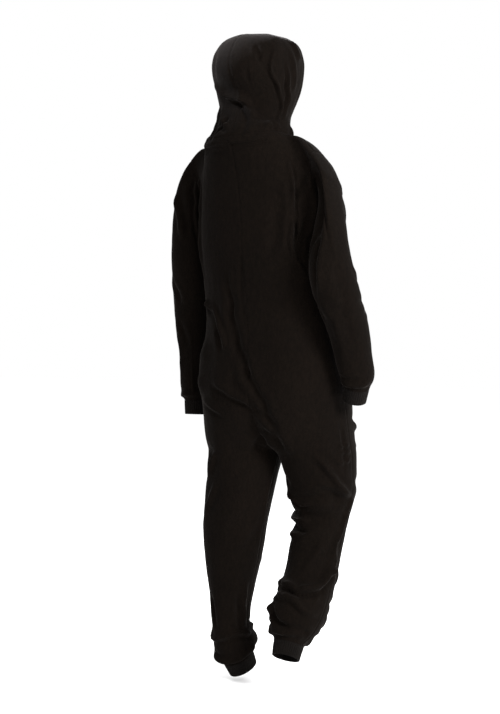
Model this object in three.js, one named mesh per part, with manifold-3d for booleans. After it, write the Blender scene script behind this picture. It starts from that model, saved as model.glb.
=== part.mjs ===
import * as THREE from "three";
import { mergeVertices } from "three/addons/utils/BufferGeometryUtils.js";
import Module from "manifold-3d";

// Hooded fleece onesie, held in the shape of a standing figure: left leg straight, right knee bent.
// Millimetres, +Z up. The front faces -Y and the garment's own left is +X. The origin is the middle
// of the neck base.

// Driving sizes
const CLOTH = 2.5; // fleece wall
const CUFF_CLOTH = 3; // doubled rib knit
const SEAM_GAP = 0.3; // left between two pieces that are sewn together
const UNDERARM_Z = { left: -285, right: -265 };
const HIP_Z = -625;
const CROTCH = { x: -30, y: -108, z: -806, depth: 118 };
const NECKLINE = { halfWidth: 112, halfDepth: 102, x: 8, y: -5 };
// The shoulder tips. The armhole's edge bulges to the back and front below the tip, and curves in by scoop.
const SHOULDER_TIP = {
  left: { x: 201, y: -42, z: -37, bulge: { back: 40, front: 56 }, scoop: 14 },
  right: { x: -186, y: 10, z: -35, bulge: { back: 34, front: 60 }, scoop: 8 },
};
const SHOULDER_ARCH = 16; // rise of the shoulder seam above a straight line
const CAP_PUSH = 0.66; // how squarely the sleeve head leaves the armhole
const SLEEVE_TURN = { left: 0, right: -40 }; // degrees that the underarm seam sits off the inner side
const CAP_END_Z = { left: -350, right: -350 }; // where the sleeve head has become a plain tube
const TORSO_POWER = 0.86; // under 1 squares the torso's sections a little, so that the back lies flatter

// How finely each piece is divided
const SHOULDER_COLUMNS = 4;
const NECK_COLUMNS = 7;
const COLUMNS = SHOULDER_COLUMNS + NECK_COLUMNS;
const LEG_ROWS = 17;
const CROTCH_ROW = LEG_ROWS + 1;
const SEAT_ROWS = 6;
const TORSO_ROWS = 9;
const YOKE_ROWS = 9;
const CAP_RINGS = 7;
const ARM_RINGS = 10;

// Colours
const FLEECE = 0x15110e;
const RIB = 0x110e0c;
const ZIP_BLACK = 0x0c0b0a;

// Sections of the torso, from the hip up to the underarm. twist is how far the right side lies back
// and the left side forward.
const torsoSections = [
  { z: -625, x: -18, y: -100, halfWidth: 203, back: 152, front: 142, twist: 0 },
  { z: -560, x: -20, y: -96, halfWidth: 195, back: 146, front: 140, twist: 3 },
  { z: -480, x: -21, y: -91, halfWidth: 187, back: 141, front: 140, twist: 7 },
  { z: -400, x: -18, y: -85, halfWidth: 187, back: 139, front: 139, twist: 10 },
  { z: -320, x: -14, y: -78, halfWidth: 189, back: 137, front: 134, twist: 13 },
  { z: -265, x: -10, y: -70, halfWidth: 189, back: 132, front: 128, twist: 14 },
];

// Sections of the legs, from the crotch down to the cuff seam. A tilt is in degrees: backTilt raises
// the back edge and sideTilt the edge on the garment's left.
const legSections = {
  left: [
    { z: -806, x: 70, y: -100, halfWidth: 100, halfDepth: 112, backTilt: 0, sideTilt: 0 },
    { z: -880, x: 75, y: -90, halfWidth: 93, halfDepth: 100, backTilt: 0, sideTilt: 0 },
    { z: -980, x: 86, y: -78, halfWidth: 85, halfDepth: 90, backTilt: 1, sideTilt: 0 },
    { z: -1080, x: 92, y: -72, halfWidth: 76, halfDepth: 82, backTilt: 2, sideTilt: 0 },
    { z: -1180, x: 95, y: -68, halfWidth: 58, halfDepth: 64, backTilt: 0, sideTilt: 0 },
    { z: -1240, x: 97, y: -66, halfWidth: 51, halfDepth: 58, backTilt: -6, sideTilt: -3 },
    { z: -1290, x: 96, y: -68, halfWidth: 51, halfDepth: 58, backTilt: -14, sideTilt: -7 },
    { z: -1324, x: 89, y: -77, halfWidth: 57, halfDepth: 63, backTilt: -20, sideTilt: -10 },
    { z: -1342, x: 86, y: -80, halfWidth: 51, halfDepth: 57, backTilt: -24, sideTilt: -12 },
    { z: -1350, x: 84, y: -81, halfWidth: 42, halfDepth: 47, backTilt: -24, sideTilt: -12 },
    { z: -1358, x: 83, y: -82, halfWidth: 40, halfDepth: 45, backTilt: -24, sideTilt: -12 },
  ],
  right: [
    { z: -806, x: -128, y: -140, halfWidth: 98, halfDepth: 104, backTilt: 0, sideTilt: 0 },
    { z: -870, x: -131, y: -150, halfWidth: 92, halfDepth: 98, backTilt: -4, sideTilt: 0 },
    { z: -925, x: -129, y: -160, halfWidth: 88, halfDepth: 92, backTilt: -6, sideTilt: 0 },
    { z: -975, x: -125, y: -164, halfWidth: 74, halfDepth: 76, backTilt: 2, sideTilt: 0 },
    { z: -1030, x: -122, y: -148, halfWidth: 70, halfDepth: 76, backTilt: 14, sideTilt: 0 },
    { z: -1085, x: -120, y: -128, halfWidth: 68, halfDepth: 74, backTilt: 22, sideTilt: 0 },
    { z: -1140, x: -121, y: -98, halfWidth: 67, halfDepth: 78, backTilt: 26, sideTilt: 0 },
    { z: -1190, x: -119, y: -66, halfWidth: 71, halfDepth: 82, backTilt: 28, sideTilt: 0 },
    { z: -1232, x: -113, y: -42, halfWidth: 71, halfDepth: 77, backTilt: 28, sideTilt: 0 },
    { z: -1262, x: -111, y: -26, halfWidth: 63, halfDepth: 68, backTilt: 27, sideTilt: 0 },
    { z: -1278, x: -110, y: -18, halfWidth: 50, halfDepth: 55, backTilt: 26, sideTilt: 0 },
    { z: -1286, x: -109.5, y: -14, halfWidth: 41, halfDepth: 46, backTilt: 26, sideTilt: 0 },
    { z: -1294, x: -109, y: -10, halfWidth: 39, halfDepth: 44, backTilt: 26, sideTilt: 0 },
  ],
};

// Sections of the sleeves, from below the underarm to the cuff seam
const armSections = {
  left: [
    { z: -350, x: 238, y: -108, halfWidth: 60, halfDepth: 66, backTilt: -12, sideTilt: 6 },
    { z: -420, x: 246, y: -124, halfWidth: 57, halfDepth: 62, backTilt: -9, sideTilt: 3 },
    { z: -500, x: 248, y: -136, halfWidth: 51, halfDepth: 56, backTilt: -5, sideTilt: 1 },
    { z: -580, x: 249, y: -140, halfWidth: 47, halfDepth: 50, backTilt: 0, sideTilt: 0 },
    { z: -640, x: 248, y: -138, halfWidth: 46, halfDepth: 49, backTilt: 2, sideTilt: 0 },
    { z: -664, x: 246, y: -136, halfWidth: 43, halfDepth: 47, backTilt: 3, sideTilt: 0 },
    { z: -673, x: 245, y: -135, halfWidth: 35, halfDepth: 39, backTilt: 3, sideTilt: 0 },
    { z: -681, x: 245, y: -135, halfWidth: 33, halfDepth: 37, backTilt: 3, sideTilt: 0 },
  ],
  right: [
    { z: -350, x: -252, y: 28, halfWidth: 56, halfDepth: 66, backTilt: -18, sideTilt: -8 },
    { z: -420, x: -261, y: 0, halfWidth: 55, halfDepth: 62, backTilt: -20, sideTilt: -4 },
    { z: -500, x: -268, y: -42, halfWidth: 51, halfDepth: 56, backTilt: -22, sideTilt: -1 },
    { z: -560, x: -270, y: -58, halfWidth: 47, halfDepth: 52, backTilt: -15, sideTilt: 0 },
    { z: -596, x: -274, y: -69, halfWidth: 47, halfDepth: 52, backTilt: -12, sideTilt: 0 },
    { z: -614, x: -273, y: -73, halfWidth: 43, halfDepth: 48, backTilt: -12, sideTilt: 9 },
    { z: -623, x: -271, y: -75, halfWidth: 35, halfDepth: 39, backTilt: -12, sideTilt: 14 },
    { z: -631, x: -270, y: -76, halfWidth: 33, halfDepth: 37, backTilt: -12, sideTilt: 16 },
  ],
};

// Levels of the hood above the neckline. A level runs from the face edge, at faceAngle, round to the
// centre back.
const hoodLevels = [
  { faceZ: -8, backZ: 30, halfWidth: 109, y: -12, back: 98, front: 86, faceAngle: -74 },
  { faceZ: 30, backZ: 58, halfWidth: 98, y: -20, back: 86, front: 86, faceAngle: -60 },
  { faceZ: 68, backZ: 86, halfWidth: 92, y: -26, back: 80, front: 100, faceAngle: -50 },
  { faceZ: 108, backZ: 112, halfWidth: 99, y: -40, back: 100, front: 122, faceAngle: -46 },
  { faceZ: 146, backZ: 140, halfWidth: 107, y: -44, back: 129, front: 138, faceAngle: -46 },
  { faceZ: 184, backZ: 170, halfWidth: 110, y: -43, back: 147, front: 148, faceAngle: -48 },
  { faceZ: 219, backZ: 202, halfWidth: 108, y: -42, back: 148, front: 156, faceAngle: -51 },
  { faceZ: 248, backZ: 230, halfWidth: 99, y: -40, back: 130, front: 158, faceAngle: -55 },
  { faceZ: 267, backZ: 251, halfWidth: 83, y: -38, back: 112, front: 156, faceAngle: -61 },
  { faceZ: 276, backZ: 264, halfWidth: 60, y: -38, back: 94, front: 152, faceAngle: -69 },
  { faceZ: 279, backZ: 270, halfWidth: 32, y: -38, back: 80, front: 148, faceAngle: -79 },
  { faceZ: 280, backZ: 272, halfWidth: 0, y: -38, back: 70, front: 146, faceAngle: -90 },
];

// The largest folds. A path is a list of [share of the way across the piece, share of the way up it].
const folds = [
  { on: "back_right", path: [[0.24, 0.93], [0.27, 0.85], [0.22, 0.74]], width: 16, depth: -8 },
  { on: "back_left", path: [[0.2, 0.92], [0.24, 0.84], [0.2, 0.74]], width: 16, depth: -7 },
  { on: "back_left", path: [[0.93, 0.72], [0.86, 0.64], [0.92, 0.56], [0.99, 0.5]], width: 17, depth: -7 },
  { on: "back_left", path: [[0.3, 0.66], [0.42, 0.63], [0.52, 0.58]], width: 14, depth: 8 },
  { on: "back_left", path: [[0.5, 0.47], [0.66, 0.45], [0.86, 0.42]], width: 14, depth: -8 },
  { on: "back_left", path: [[0.2, 0.46], [0.36, 0.44]], width: 14, depth: -7 },
  { on: "back_left", path: [[0.28, 0.38], [0.2, 0.34]], width: 14, depth: 6 },
  { on: "back_left", path: [[0.3, 0.31], [0.2, 0.26]], width: 14, depth: 6 },
  { on: "back_left", path: [[0.1, 0.075], [0.5, 0.06], [0.9, 0.08]], width: 10, depth: 6 },
  { on: "front_left", path: [[0.1, 0.075], [0.5, 0.07], [0.9, 0.08]], width: 10, depth: 5 },
  { on: "back_right", path: [[0.3, 0.3], [0.65, 0.28], [0.95, 0.3]], width: 13, depth: -8 },
  { on: "back_right", path: [[0.25, 0.18], [0.6, 0.15], [0.9, 0.19]], width: 13, depth: -8 },
  { on: "back_right", path: [[0.2, 0.1], [0.6, 0.09], [0.95, 0.12]], width: 12, depth: 7 },
  { on: "back_right", path: [[0.35, 0.4], [0.6, 0.36]], width: 14, depth: -6 },
  { on: "front_right", path: [[0.3, 0.32], [0.6, 0.36]], width: 15, depth: 6 },
  { on: "front_right", path: [[0.25, 0.62], [0.6, 0.57]], width: 16, depth: -6 },
  { on: "front_left", path: [[0.25, 0.62], [0.6, 0.58]], width: 16, depth: -6 },
  { on: "sleeve_right", path: [[0.3, 0.42], [0.4, 0.5], [0.36, 0.6]], width: 14, depth: -7 },
  { on: "sleeve_right", path: [[0.22, 0.55], [0.34, 0.66]], width: 13, depth: -6 },
  { on: "sleeve_left", path: [[0.3, 0.38], [0.42, 0.5]], width: 13, depth: -7 },
  { on: "sleeve_left", path: [[0.3, 0.55], [0.44, 0.64]], width: 13, depth: 6 },
  { on: "hood_left", path: [[0.72, 0.4], [0.86, 0.34], [1, 0.3]], width: 11, depth: -9 },
  { on: "hood_right", path: [[1, 0.3], [0.84, 0.26], [0.72, 0.2]], width: 11, depth: -9 },
  { on: "hood_right", path: [[0.6, 0.82], [0.56, 0.55], [0.6, 0.3]], width: 12, depth: 7 },
  { on: "hood_right", path: [[0.36, 0.75], [0.36, 0.5], [0.42, 0.25]], width: 12, depth: 7 },
];

// Rib knit cuffs: how far each reaches past its seam and how much it narrows
const cuffs = {
  wrist: { length: 38, taper: 3, ribs: 34, ribHeight: 0.9 },
  ankle: { length: 36, taper: 4, ribs: 42, ribHeight: 0.9 },
};

// The front zip. The front edges stand gap apart over it, from the row at bottomShare upwards.
const ZIP = { bottomShare: 0.57, gap: 6.4, topTrim: 4 };
const TAPE = { halfWidth: 15, cloth: 1, below: 0.5 }; // below is measured under the panels' inside
const CHAIN = { halfWidth: 2.6, proud: 0.6, sunk: 2.7 };

// The slider's plate over the chain, with the bridge that holds the pull tab
const SLIDER = { share: 0.4, topWidth: 9, bottomWidth: 6.4, length: 12, plate: 1.6, clear: 0.3 };
const BRIDGE = { length: 5.6, width: 2.2, bar: 1.1, opening: 3 };

// The pull tab, measured from the middle of the cross bar that turns under the bridge
const TAB = { width: 6.4, length: 24, thickness: 1.2, corner: 1.5 };
const TAB_HOLE = { crossBar: 1.4, width: 3.8, end: 6 };

const SIDES = { left: 1, right: -1 };
const FACES = { back: 1, front: -1 };
const radians = THREE.MathUtils.degToRad;
const lerp = THREE.MathUtils.lerp;
const rounded = (value, power) => Math.sign(value) * Math.abs(value) ** power;

// Smooth value between the rows of a table, keyed by one column
function between(table, column, value) {
  const rising = table[0][column] < table[table.length - 1][column];
  const rows = rising ? table : [...table].reverse();
  const last = rows.length - 2;
  let i = 0;
  while (i < last && value > rows[i + 1][column]) i++;
  const [a, b] = [rows[i], rows[i + 1]];
  const before = rows[Math.max(i - 1, 0)];
  const after = rows[Math.min(i + 2, rows.length - 1)];
  const span = b[column] - a[column];
  const s = THREE.MathUtils.clamp((value - a[column]) / span, 0, 1);
  const row = {};
  for (const name of Object.keys(a)) {
    const slopeIn = ((b[name] - before[name]) / (b[column] - before[column])) * span;
    const slopeOut = ((after[name] - a[name]) / (after[column] - a[column])) * span;
    const h1 = s * s * (3 - 2 * s);
    row[name] = a[name] * (1 - h1) + b[name] * h1;
    row[name] += slopeIn * s * (1 - s) ** 2 - slopeOut * s * s * (1 - s);
  }
  row[column] = value;
  return row;
}

// A point on a tilted section, given its place across and along the section's own plane
function onSection(section, across, along) {
  const side = radians(section.sideTilt);
  const back = radians(section.backTilt);
  return new THREE.Vector3(
    section.x + across * Math.cos(side),
    section.y + along * Math.cos(back),
    section.z + across * Math.sin(side) + along * Math.sin(back),
  );
}

function sectionAxis(section) {
  const across = onSection({ ...section, x: 0, y: 0, z: 0 }, 1, 0);
  const along = onSection({ ...section, x: 0, y: 0, z: 0 }, 0, 1);
  return across.cross(along).normalize();
}

// Neckline, by the angle from the garment's left: higher at the back, dipping at the centre front
function neckPoint(angle) {
  const lift = 4 - 12 * Math.cos(angle) + 29 * Math.sin(angle) - 25 * Math.sin(angle) ** 2;
  return new THREE.Vector3(
    NECKLINE.x + NECKLINE.halfWidth * Math.cos(angle),
    NECKLINE.y + NECKLINE.halfDepth * Math.sin(angle),
    lift,
  );
}

// Centre seam under the seat: a quarter ellipse from the hip down to the crotch. drop goes from 0 to 1.
function seatSeam(face, drop) {
  const hip = between(torsoSections, "z", HIP_Z);
  const depth = lerp(face > 0 ? hip.back : hip.front, CROTCH.depth, drop);
  return new THREE.Vector3(
    lerp(hip.x, CROTCH.x, drop),
    lerp(hip.y, CROTCH.y, drop) + face * depth * Math.cos((drop * Math.PI) / 2),
    HIP_Z + (CROTCH.z - HIP_Z) * Math.sin((drop * Math.PI) / 2),
  );
}

const innerShare = (t) => THREE.MathUtils.smoothstep(t, 0.35, 1);

function legPoint(sideName, face, z, t) {
  const side = SIDES[sideName];
  const section = between(legSections[sideName], "z", z);
  const angle = Math.PI * t;
  const across = side * section.halfWidth * Math.cos(angle);
  const point = onSection(section, across, face * section.halfDepth * Math.sin(angle));
  // Just below the crotch the two inseams come together at one point.
  const top = legSections[sideName][0];
  const toCrotch = new THREE.Vector3(CROTCH.x, CROTCH.y, CROTCH.z);
  toCrotch.sub(new THREE.Vector3(top.x - side * top.halfWidth, top.y, top.z));
  const near = Math.exp(-(((CROTCH.z - z) / 45) ** 1.3));
  return point.addScaledVector(toCrotch, near * innerShare(t));
}

function seatPoint(sideName, face, drop, t) {
  const side = SIDES[sideName];
  const hip = between(torsoSections, "z", HIP_Z);
  const leg = legSections[sideName][0];
  const seam = seatSeam(face, drop);
  const down = Math.sin((drop * Math.PI) / 2);
  const legReach = side * (leg.x - CROTCH.x) + leg.halfWidth;
  const reach = lerp(hip.halfWidth, legReach, down);
  const end = (Math.PI / 2) * (1 + drop);
  const halfWidth = reach / (1 - Math.cos(end));
  const depth = lerp(face > 0 ? hip.back : hip.front, leg.halfDepth, down);
  const power = lerp(TORSO_POWER, 1, down);
  const angle = end * t;
  const middle = seam.x + side * (reach - halfWidth);
  const middleY = lerp(hip.y, leg.y, down);
  const point = new THREE.Vector3(
    middle + side * halfWidth * rounded(Math.cos(angle), power),
    middleY + face * depth * rounded(Math.sin(angle), power),
    seam.z,
  );
  const endY = middleY + face * depth * rounded(Math.sin(end), power);
  const miss = new THREE.Vector3(0, seam.y - endY, 0);
  return t === 1 ? seam : point.addScaledVector(miss, innerShare(t));
}

function torsoPoint(sideName, face, z, t) {
  const section = between(torsoSections, "z", z);
  const angle = (Math.PI / 2) * t;
  const depth = face > 0 ? section.back : section.front;
  const across = SIDES[sideName] * rounded(t === 1 ? 0 : Math.cos(angle), TORSO_POWER);
  const along = face * depth * rounded(Math.sin(angle), TORSO_POWER);
  const x = section.x + section.halfWidth * across;
  return new THREE.Vector3(x, section.y + along - section.twist * across, z);
}

// Top edge of a body panel: along the shoulder seam to the neck, then round the neckline to the centre
function topPoint(sideName, face, column) {
  const start = sideName === "left" ? 0 : Math.PI;
  const turn = face * SIDES[sideName] * (Math.PI / 2);
  if (column >= SHOULDER_COLUMNS) {
    const round = (column - SHOULDER_COLUMNS) / NECK_COLUMNS;
    return neckPoint(start + turn * round);
  }
  const tip = SHOULDER_TIP[sideName];
  const share = column / SHOULDER_COLUMNS;
  const point = new THREE.Vector3(tip.x, tip.y, tip.z).lerp(neckPoint(start), share);
  point.z += SHOULDER_ARCH * Math.sin(Math.PI * share);
  return point;
}

// From the underarm up to the top edge. rise goes from 0 to 1.
function yokePoint(sideName, face, rise, column) {
  const t = column / COLUMNS;
  const low = torsoPoint(sideName, face, torsoSections[torsoSections.length - 1].z, t);
  const middleZ = (UNDERARM_Z.left + UNDERARM_Z.right) / 2;
  low.z = lerp(UNDERARM_Z[sideName], middleZ, THREE.MathUtils.smoothstep(t, 0, 1));
  const high = topPoint(sideName, face, column);
  const turn = lerp(0.98, 0.5, t) * (Math.PI / 2);
  const up = Math.sin(turn * rise) / Math.sin(turn);
  const over = (Math.cos(turn * rise) - Math.cos(turn)) / (1 - Math.cos(turn));
  const swell = 2 * rise * Math.sqrt(1 - rise * rise);
  const bulge = SHOULDER_TIP[sideName].bulge[face > 0 ? "back" : "front"];
  const scoop = SHOULDER_TIP[sideName].scoop * Math.sin(Math.PI * rise) * (1 - t) ** 4;
  return new THREE.Vector3(
    lerp(high.x, low.x, over) - SIDES[sideName] * scoop,
    lerp(high.y, low.y, over) + face * bulge * swell * (1 - t) ** 3,
    lerp(low.z, high.z, up),
  );
}

// One body panel as a grid, from the ankle up. A row runs from the side seam or armhole to the inseam
// or centre seam.
function bodyGrid(sideName, face) {
  const columns = [...Array(COLUMNS + 1).keys()];
  const hem = legSections[sideName].slice(-3).map((row) => row.z);
  const hemTop = legSections[sideName].at(-4).z;
  const legHeights = hem.reverse();
  for (let i = 0; i <= LEG_ROWS - 3; i++) {
    legHeights.push(lerp(hemTop, CROTCH.z, (i / (LEG_ROWS - 2)) ** 0.94));
  }
  const grid = legHeights.map((z) => columns.map((c) => legPoint(sideName, face, z, c / COLUMNS)));
  for (let i = SEAT_ROWS; i > 0; i--) {
    grid.push(columns.map((c) => seatPoint(sideName, face, i / SEAT_ROWS, c / COLUMNS)));
  }
  const underarm = torsoSections.at(-1).z;
  for (let i = 0; i < TORSO_ROWS; i++) {
    const share = i / TORSO_ROWS;
    const row = columns.map((c) => torsoPoint(sideName, face, lerp(HIP_Z, underarm, share), c / COLUMNS));
    for (const c of columns) row[c].z += (yokePoint(sideName, face, 0, c).z - underarm) * share;
    grid.push(row);
  }
  for (let i = 0; i <= YOKE_ROWS; i++) {
    grid.push(columns.map((c) => yokePoint(sideName, face, i / YOKE_ROWS, c)));
  }
  return grid;
}

// The armhole edge of a side's two panels as one ring, from the underarm up the back and down the front
function armholeRing(sideName, backGrid, frontGrid) {
  const first = backGrid.length - 1 - YOKE_ROWS;
  const up = backGrid.slice(first).map((row) => row[0].clone());
  const down = frontGrid.slice(first + 1, -1).map((row) => row[0].clone());
  return [...up, ...down.reverse()];
}

// A sleeve as rings from the armhole to the cuff seam. The head turns from the armhole's plane to the arm's.
function sleeveGrid(sideName, ring) {
  const side = SIDES[sideName];
  const table = armSections[sideName];
  const sectionRing = (z) =>
    ring.map((_, j) => {
      const section = between(table, "z", z);
      const angle = (2 * Math.PI * j) / ring.length + radians(SLEEVE_TURN[sideName]);
      const across = -side * section.halfWidth * Math.cos(angle);
      return onSection(section, across, section.halfDepth * Math.sin(angle));
    });
  const capEnd = sectionRing(CAP_END_Z[sideName]);
  const armWay = sectionAxis(table[0]).multiplyScalar(-1);
  const grid = [];
  for (let i = 0; i < CAP_RINGS; i++) {
    const s = i / CAP_RINGS;
    const row = ring.map((start, j) => {
      const end = capEnd[j];
      const length = start.distanceTo(end);
      const height = (1 - Math.cos((2 * Math.PI * j) / ring.length)) / 2;
      const startWay = new THREE.Vector3(side * lerp(0.6, 0.9, height), 0, -lerp(0.8, 0.5, height));
      startWay.normalize();
      const point = start.clone().multiplyScalar((1 + 2 * s) * (1 - s) ** 2);
      point.addScaledVector(end, s * s * (3 - 2 * s));
      point.addScaledVector(startWay, CAP_PUSH * length * s * (1 - s) ** 2);
      return point.addScaledVector(armWay, -length * s * s * (1 - s));
    });
    grid.push(row);
  }
  const hem = table.slice(-3).map((row) => row.z);
  const hemTop = table.at(-4).z;
  for (let i = 0; i <= ARM_RINGS - 3; i++) {
    grid.push(sectionRing(lerp(CAP_END_Z[sideName], hemTop, i / (ARM_RINGS - 3))));
  }
  for (const z of hem) grid.push(sectionRing(z));
  return grid;
}

// A hood half as levels from the neckline to the crown seam. A level runs from the face edge to the
// centre back.
function hoodGrid(sideName) {
  const side = SIDES[sideName];
  const columns = [...Array(2 * NECK_COLUMNS + 1).keys()];
  const centre = sideName === "left" ? 0 : Math.PI;
  const angleAt = (c) => centre + side * Math.PI * (c / (2 * NECK_COLUMNS) - 0.5);
  const grid = [columns.map((c) => neckPoint(angleAt(c)))];
  for (const [k, level] of hoodLevels.entries()) {
    const tilt = -side * 12 * Math.max(1 - k / 4, 0); // the hood follows the slope of the neckline near it
    grid.push(
      columns.map((c) => {
        const share = c / (2 * NECK_COLUMNS);
        const angle = radians(lerp(level.faceAngle, 90, share));
        const depth = angle > 0 ? level.back : level.front;
        return new THREE.Vector3(
          c === columns.length - 1 ? 0 : side * level.halfWidth * Math.cos(angle),
          level.y + depth * Math.sin(angle),
          lerp(level.faceZ, level.backZ, share) + tilt * Math.sin(Math.PI * share),
        );
      }),
    );
  }
  return grid;
}

// Points well inside the body and the hood, which tell a skin's outside from its inside
const BODY_CORE = new THREE.Vector3(0, -80, -450);
const HOOD_CORE = new THREE.Vector3(0, -25, 120);

// All skins before they get their thickness. A closed one is a ring in every row.
const skins = {};
for (const sideName of Object.keys(SIDES)) {
  const backGrid = bodyGrid(sideName, FACES.back);
  const frontGrid = bodyGrid(sideName, FACES.front);
  const ring = armholeRing(sideName, backGrid, frontGrid);
  const legAxis = sectionAxis(legSections[sideName].at(-1));
  const armAxis = sectionAxis(armSections[sideName].at(-1));
  skins[`back_${sideName}`] = { grid: backGrid, firstAxis: legAxis, core: BODY_CORE };
  skins[`front_${sideName}`] = { grid: frontGrid, firstAxis: legAxis, core: BODY_CORE };
  skins[`sleeve_${sideName}`] = { grid: sleeveGrid(sideName, ring), closed: true, lastAxis: armAxis };
  skins[`hood_${sideName}`] = { grid: hoodGrid(sideName), core: HOOD_CORE };
}

const keyOf = (point) => point.toArray().map((value) => Math.round(value * 50)).join();

function cells(skin) {
  const list = [];
  const { grid, closed } = skin;
  const width = grid[0].length;
  for (let i = 0; i + 1 < grid.length; i++) {
    for (let j = 0; j + (closed ? 0 : 1) < width; j++) list.push([i, j, i + 1, (j + 1) % width]);
  }
  return list;
}

// Which way round a skin's cells run, so that their faces point out of the garment
function findTurn(skin) {
  const { grid } = skin;
  const i = Math.floor(grid.length * 0.6);
  const j = Math.floor(grid[0].length / 2);
  const normal = new THREE.Vector3().subVectors(grid[i + 1][j], grid[i][j]);
  normal.cross(new THREE.Vector3().subVectors(grid[i][j + 1], grid[i][j]));
  const middle = new THREE.Vector3();
  for (const point of grid[i]) middle.addScaledVector(point, 1 / grid[i].length);
  const core = skin.core ?? middle;
  skin.turn = normal.dot(new THREE.Vector3().subVectors(grid[i][j], core)) > 0 ? 1 : -1;
}

// Normals of all skins together, so that two pieces that meet at a seam share them there
function sharedNormals() {
  const sums = new Map();
  for (const skin of Object.values(skins)) {
    for (const [i, j, k, l] of cells(skin)) {
      const g = skin.grid;
      const normal = new THREE.Vector3().subVectors(g[k][l], g[i][j]);
      normal.cross(new THREE.Vector3().subVectors(g[i][l], g[k][j])).multiplyScalar(skin.turn);
      for (const point of [g[i][j], g[i][l], g[k][j], g[k][l]]) {
        const id = keyOf(point);
        if (!sums.has(id)) sums.set(id, new THREE.Vector3());
        sums.get(id).add(normal);
      }
    }
  }
  for (const skin of Object.values(skins)) {
    const normalAt = (point) => sums.get(keyOf(point)).clone().normalize();
    skin.normals = skin.grid.map((row) => row.map(normalAt));
  }
}

// A fold's path on its skin, as closely spaced points with their normals
function foldLine(fold) {
  const { grid, normals } = skins[fold.on];
  const at = (list, across, up) => {
    const row = Math.min(up * (grid.length - 1), grid.length - 1.001);
    const column = Math.min(across * (grid[0].length - 1), grid[0].length - 1.001);
    const i = Math.floor(row);
    const j = Math.floor(column);
    const low = list[i][j].clone().lerp(list[i][j + 1], column - j);
    const high = list[i + 1][j].clone().lerp(list[i + 1][j + 1], column - j);
    return low.lerp(high, row - i);
  };
  const line = [];
  const steps = 8;
  for (let k = 0; k + 1 < fold.path.length; k++) {
    for (let s = 0; s <= steps; s++) {
      const across = lerp(fold.path[k][0], fold.path[k + 1][0], s / steps);
      const up = lerp(fold.path[k][1], fold.path[k + 1][1], s / steps);
      line.push({ point: at(grid, across, up), normal: at(normals, across, up) });
    }
  }
  return line;
}

// Moves the skins out or in along the folds, shallower towards a fold's ends and at the cuff seams
function pressFolds() {
  const lines = folds.map((fold) => ({ ...fold, line: foldLine(fold) }));
  for (const skin of Object.values(skins)) {
    skin.grid = skin.grid.map((row, i) =>
      row.map((point, j) => {
        const atCuff = (skin.firstAxis && i < 3) || (skin.lastAxis && i > skin.grid.length - 4);
        const normal = skin.normals[i][j];
        let lift = 0;
        for (const { line, width, depth } of atCuff ? [] : lines) {
          let nearest = 0;
          line.forEach((station, n) => {
            if (point.distanceTo(station.point) < point.distanceTo(line[nearest].point)) nearest = n;
          });
          const distance = point.distanceTo(line[nearest].point);
          if (distance > 3 * width || normal.dot(line[nearest].normal) < 0.2) continue;
          const fade = Math.sin(Math.PI * lerp(0.14, 0.86, nearest / (line.length - 1)));
          lift += depth * fade * Math.exp(-((distance / width) ** 2));
        }
        return point.clone().addScaledVector(normal, lift);
      }),
    );
  }
}

// Turns outer and inner grids into one closed body
function closedBody(outer, inner, closed, turn) {
  const rows = outer.length;
  const width = outer[0].length;
  const positions = [];
  for (const point of [...outer.flat(), ...inner.flat()]) positions.push(point.x, point.y, point.z);
  const id = (layer, i, j) => layer * rows * width + i * width + (j % width);
  const index = [];
  const quad = (a, b, c, d) => {
    if (turn > 0) index.push(a, b, c, a, c, d);
    else index.push(a, c, b, a, d, c);
  };
  const lastColumn = closed ? width : width - 1;
  for (let i = 0; i + 1 < rows; i++) {
    for (let j = 0; j < lastColumn; j++) {
      quad(id(0, i, j), id(0, i + 1, j), id(0, i + 1, j + 1), id(0, i, j + 1));
      quad(id(1, i, j), id(1, i, j + 1), id(1, i + 1, j + 1), id(1, i + 1, j));
    }
  }
  for (let j = 0; j < lastColumn; j++) {
    quad(id(0, 0, j), id(0, 0, j + 1), id(1, 0, j + 1), id(1, 0, j));
    quad(id(0, rows - 1, j + 1), id(0, rows - 1, j), id(1, rows - 1, j), id(1, rows - 1, j + 1));
  }
  if (!closed) {
    for (let i = 0; i + 1 < rows; i++) {
      quad(id(0, i + 1, 0), id(0, i, 0), id(1, i, 0), id(1, i + 1, 0));
      const end = width - 1;
      quad(id(0, i, end), id(0, i + 1, end), id(1, i + 1, end), id(1, i, end));
    }
  }
  const geometry = new THREE.BufferGeometry();
  geometry.setAttribute("position", new THREE.Float32BufferAttribute(positions, 3));
  geometry.setIndex(index);
  return geometry;
}

const CROTCH_PULL = 0.9; // four seams meet at the crotch, so its corners draw back further

const zipStart = () => Math.round(ZIP.bottomShare * (skins.front_left.grid.length - 1));

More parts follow.
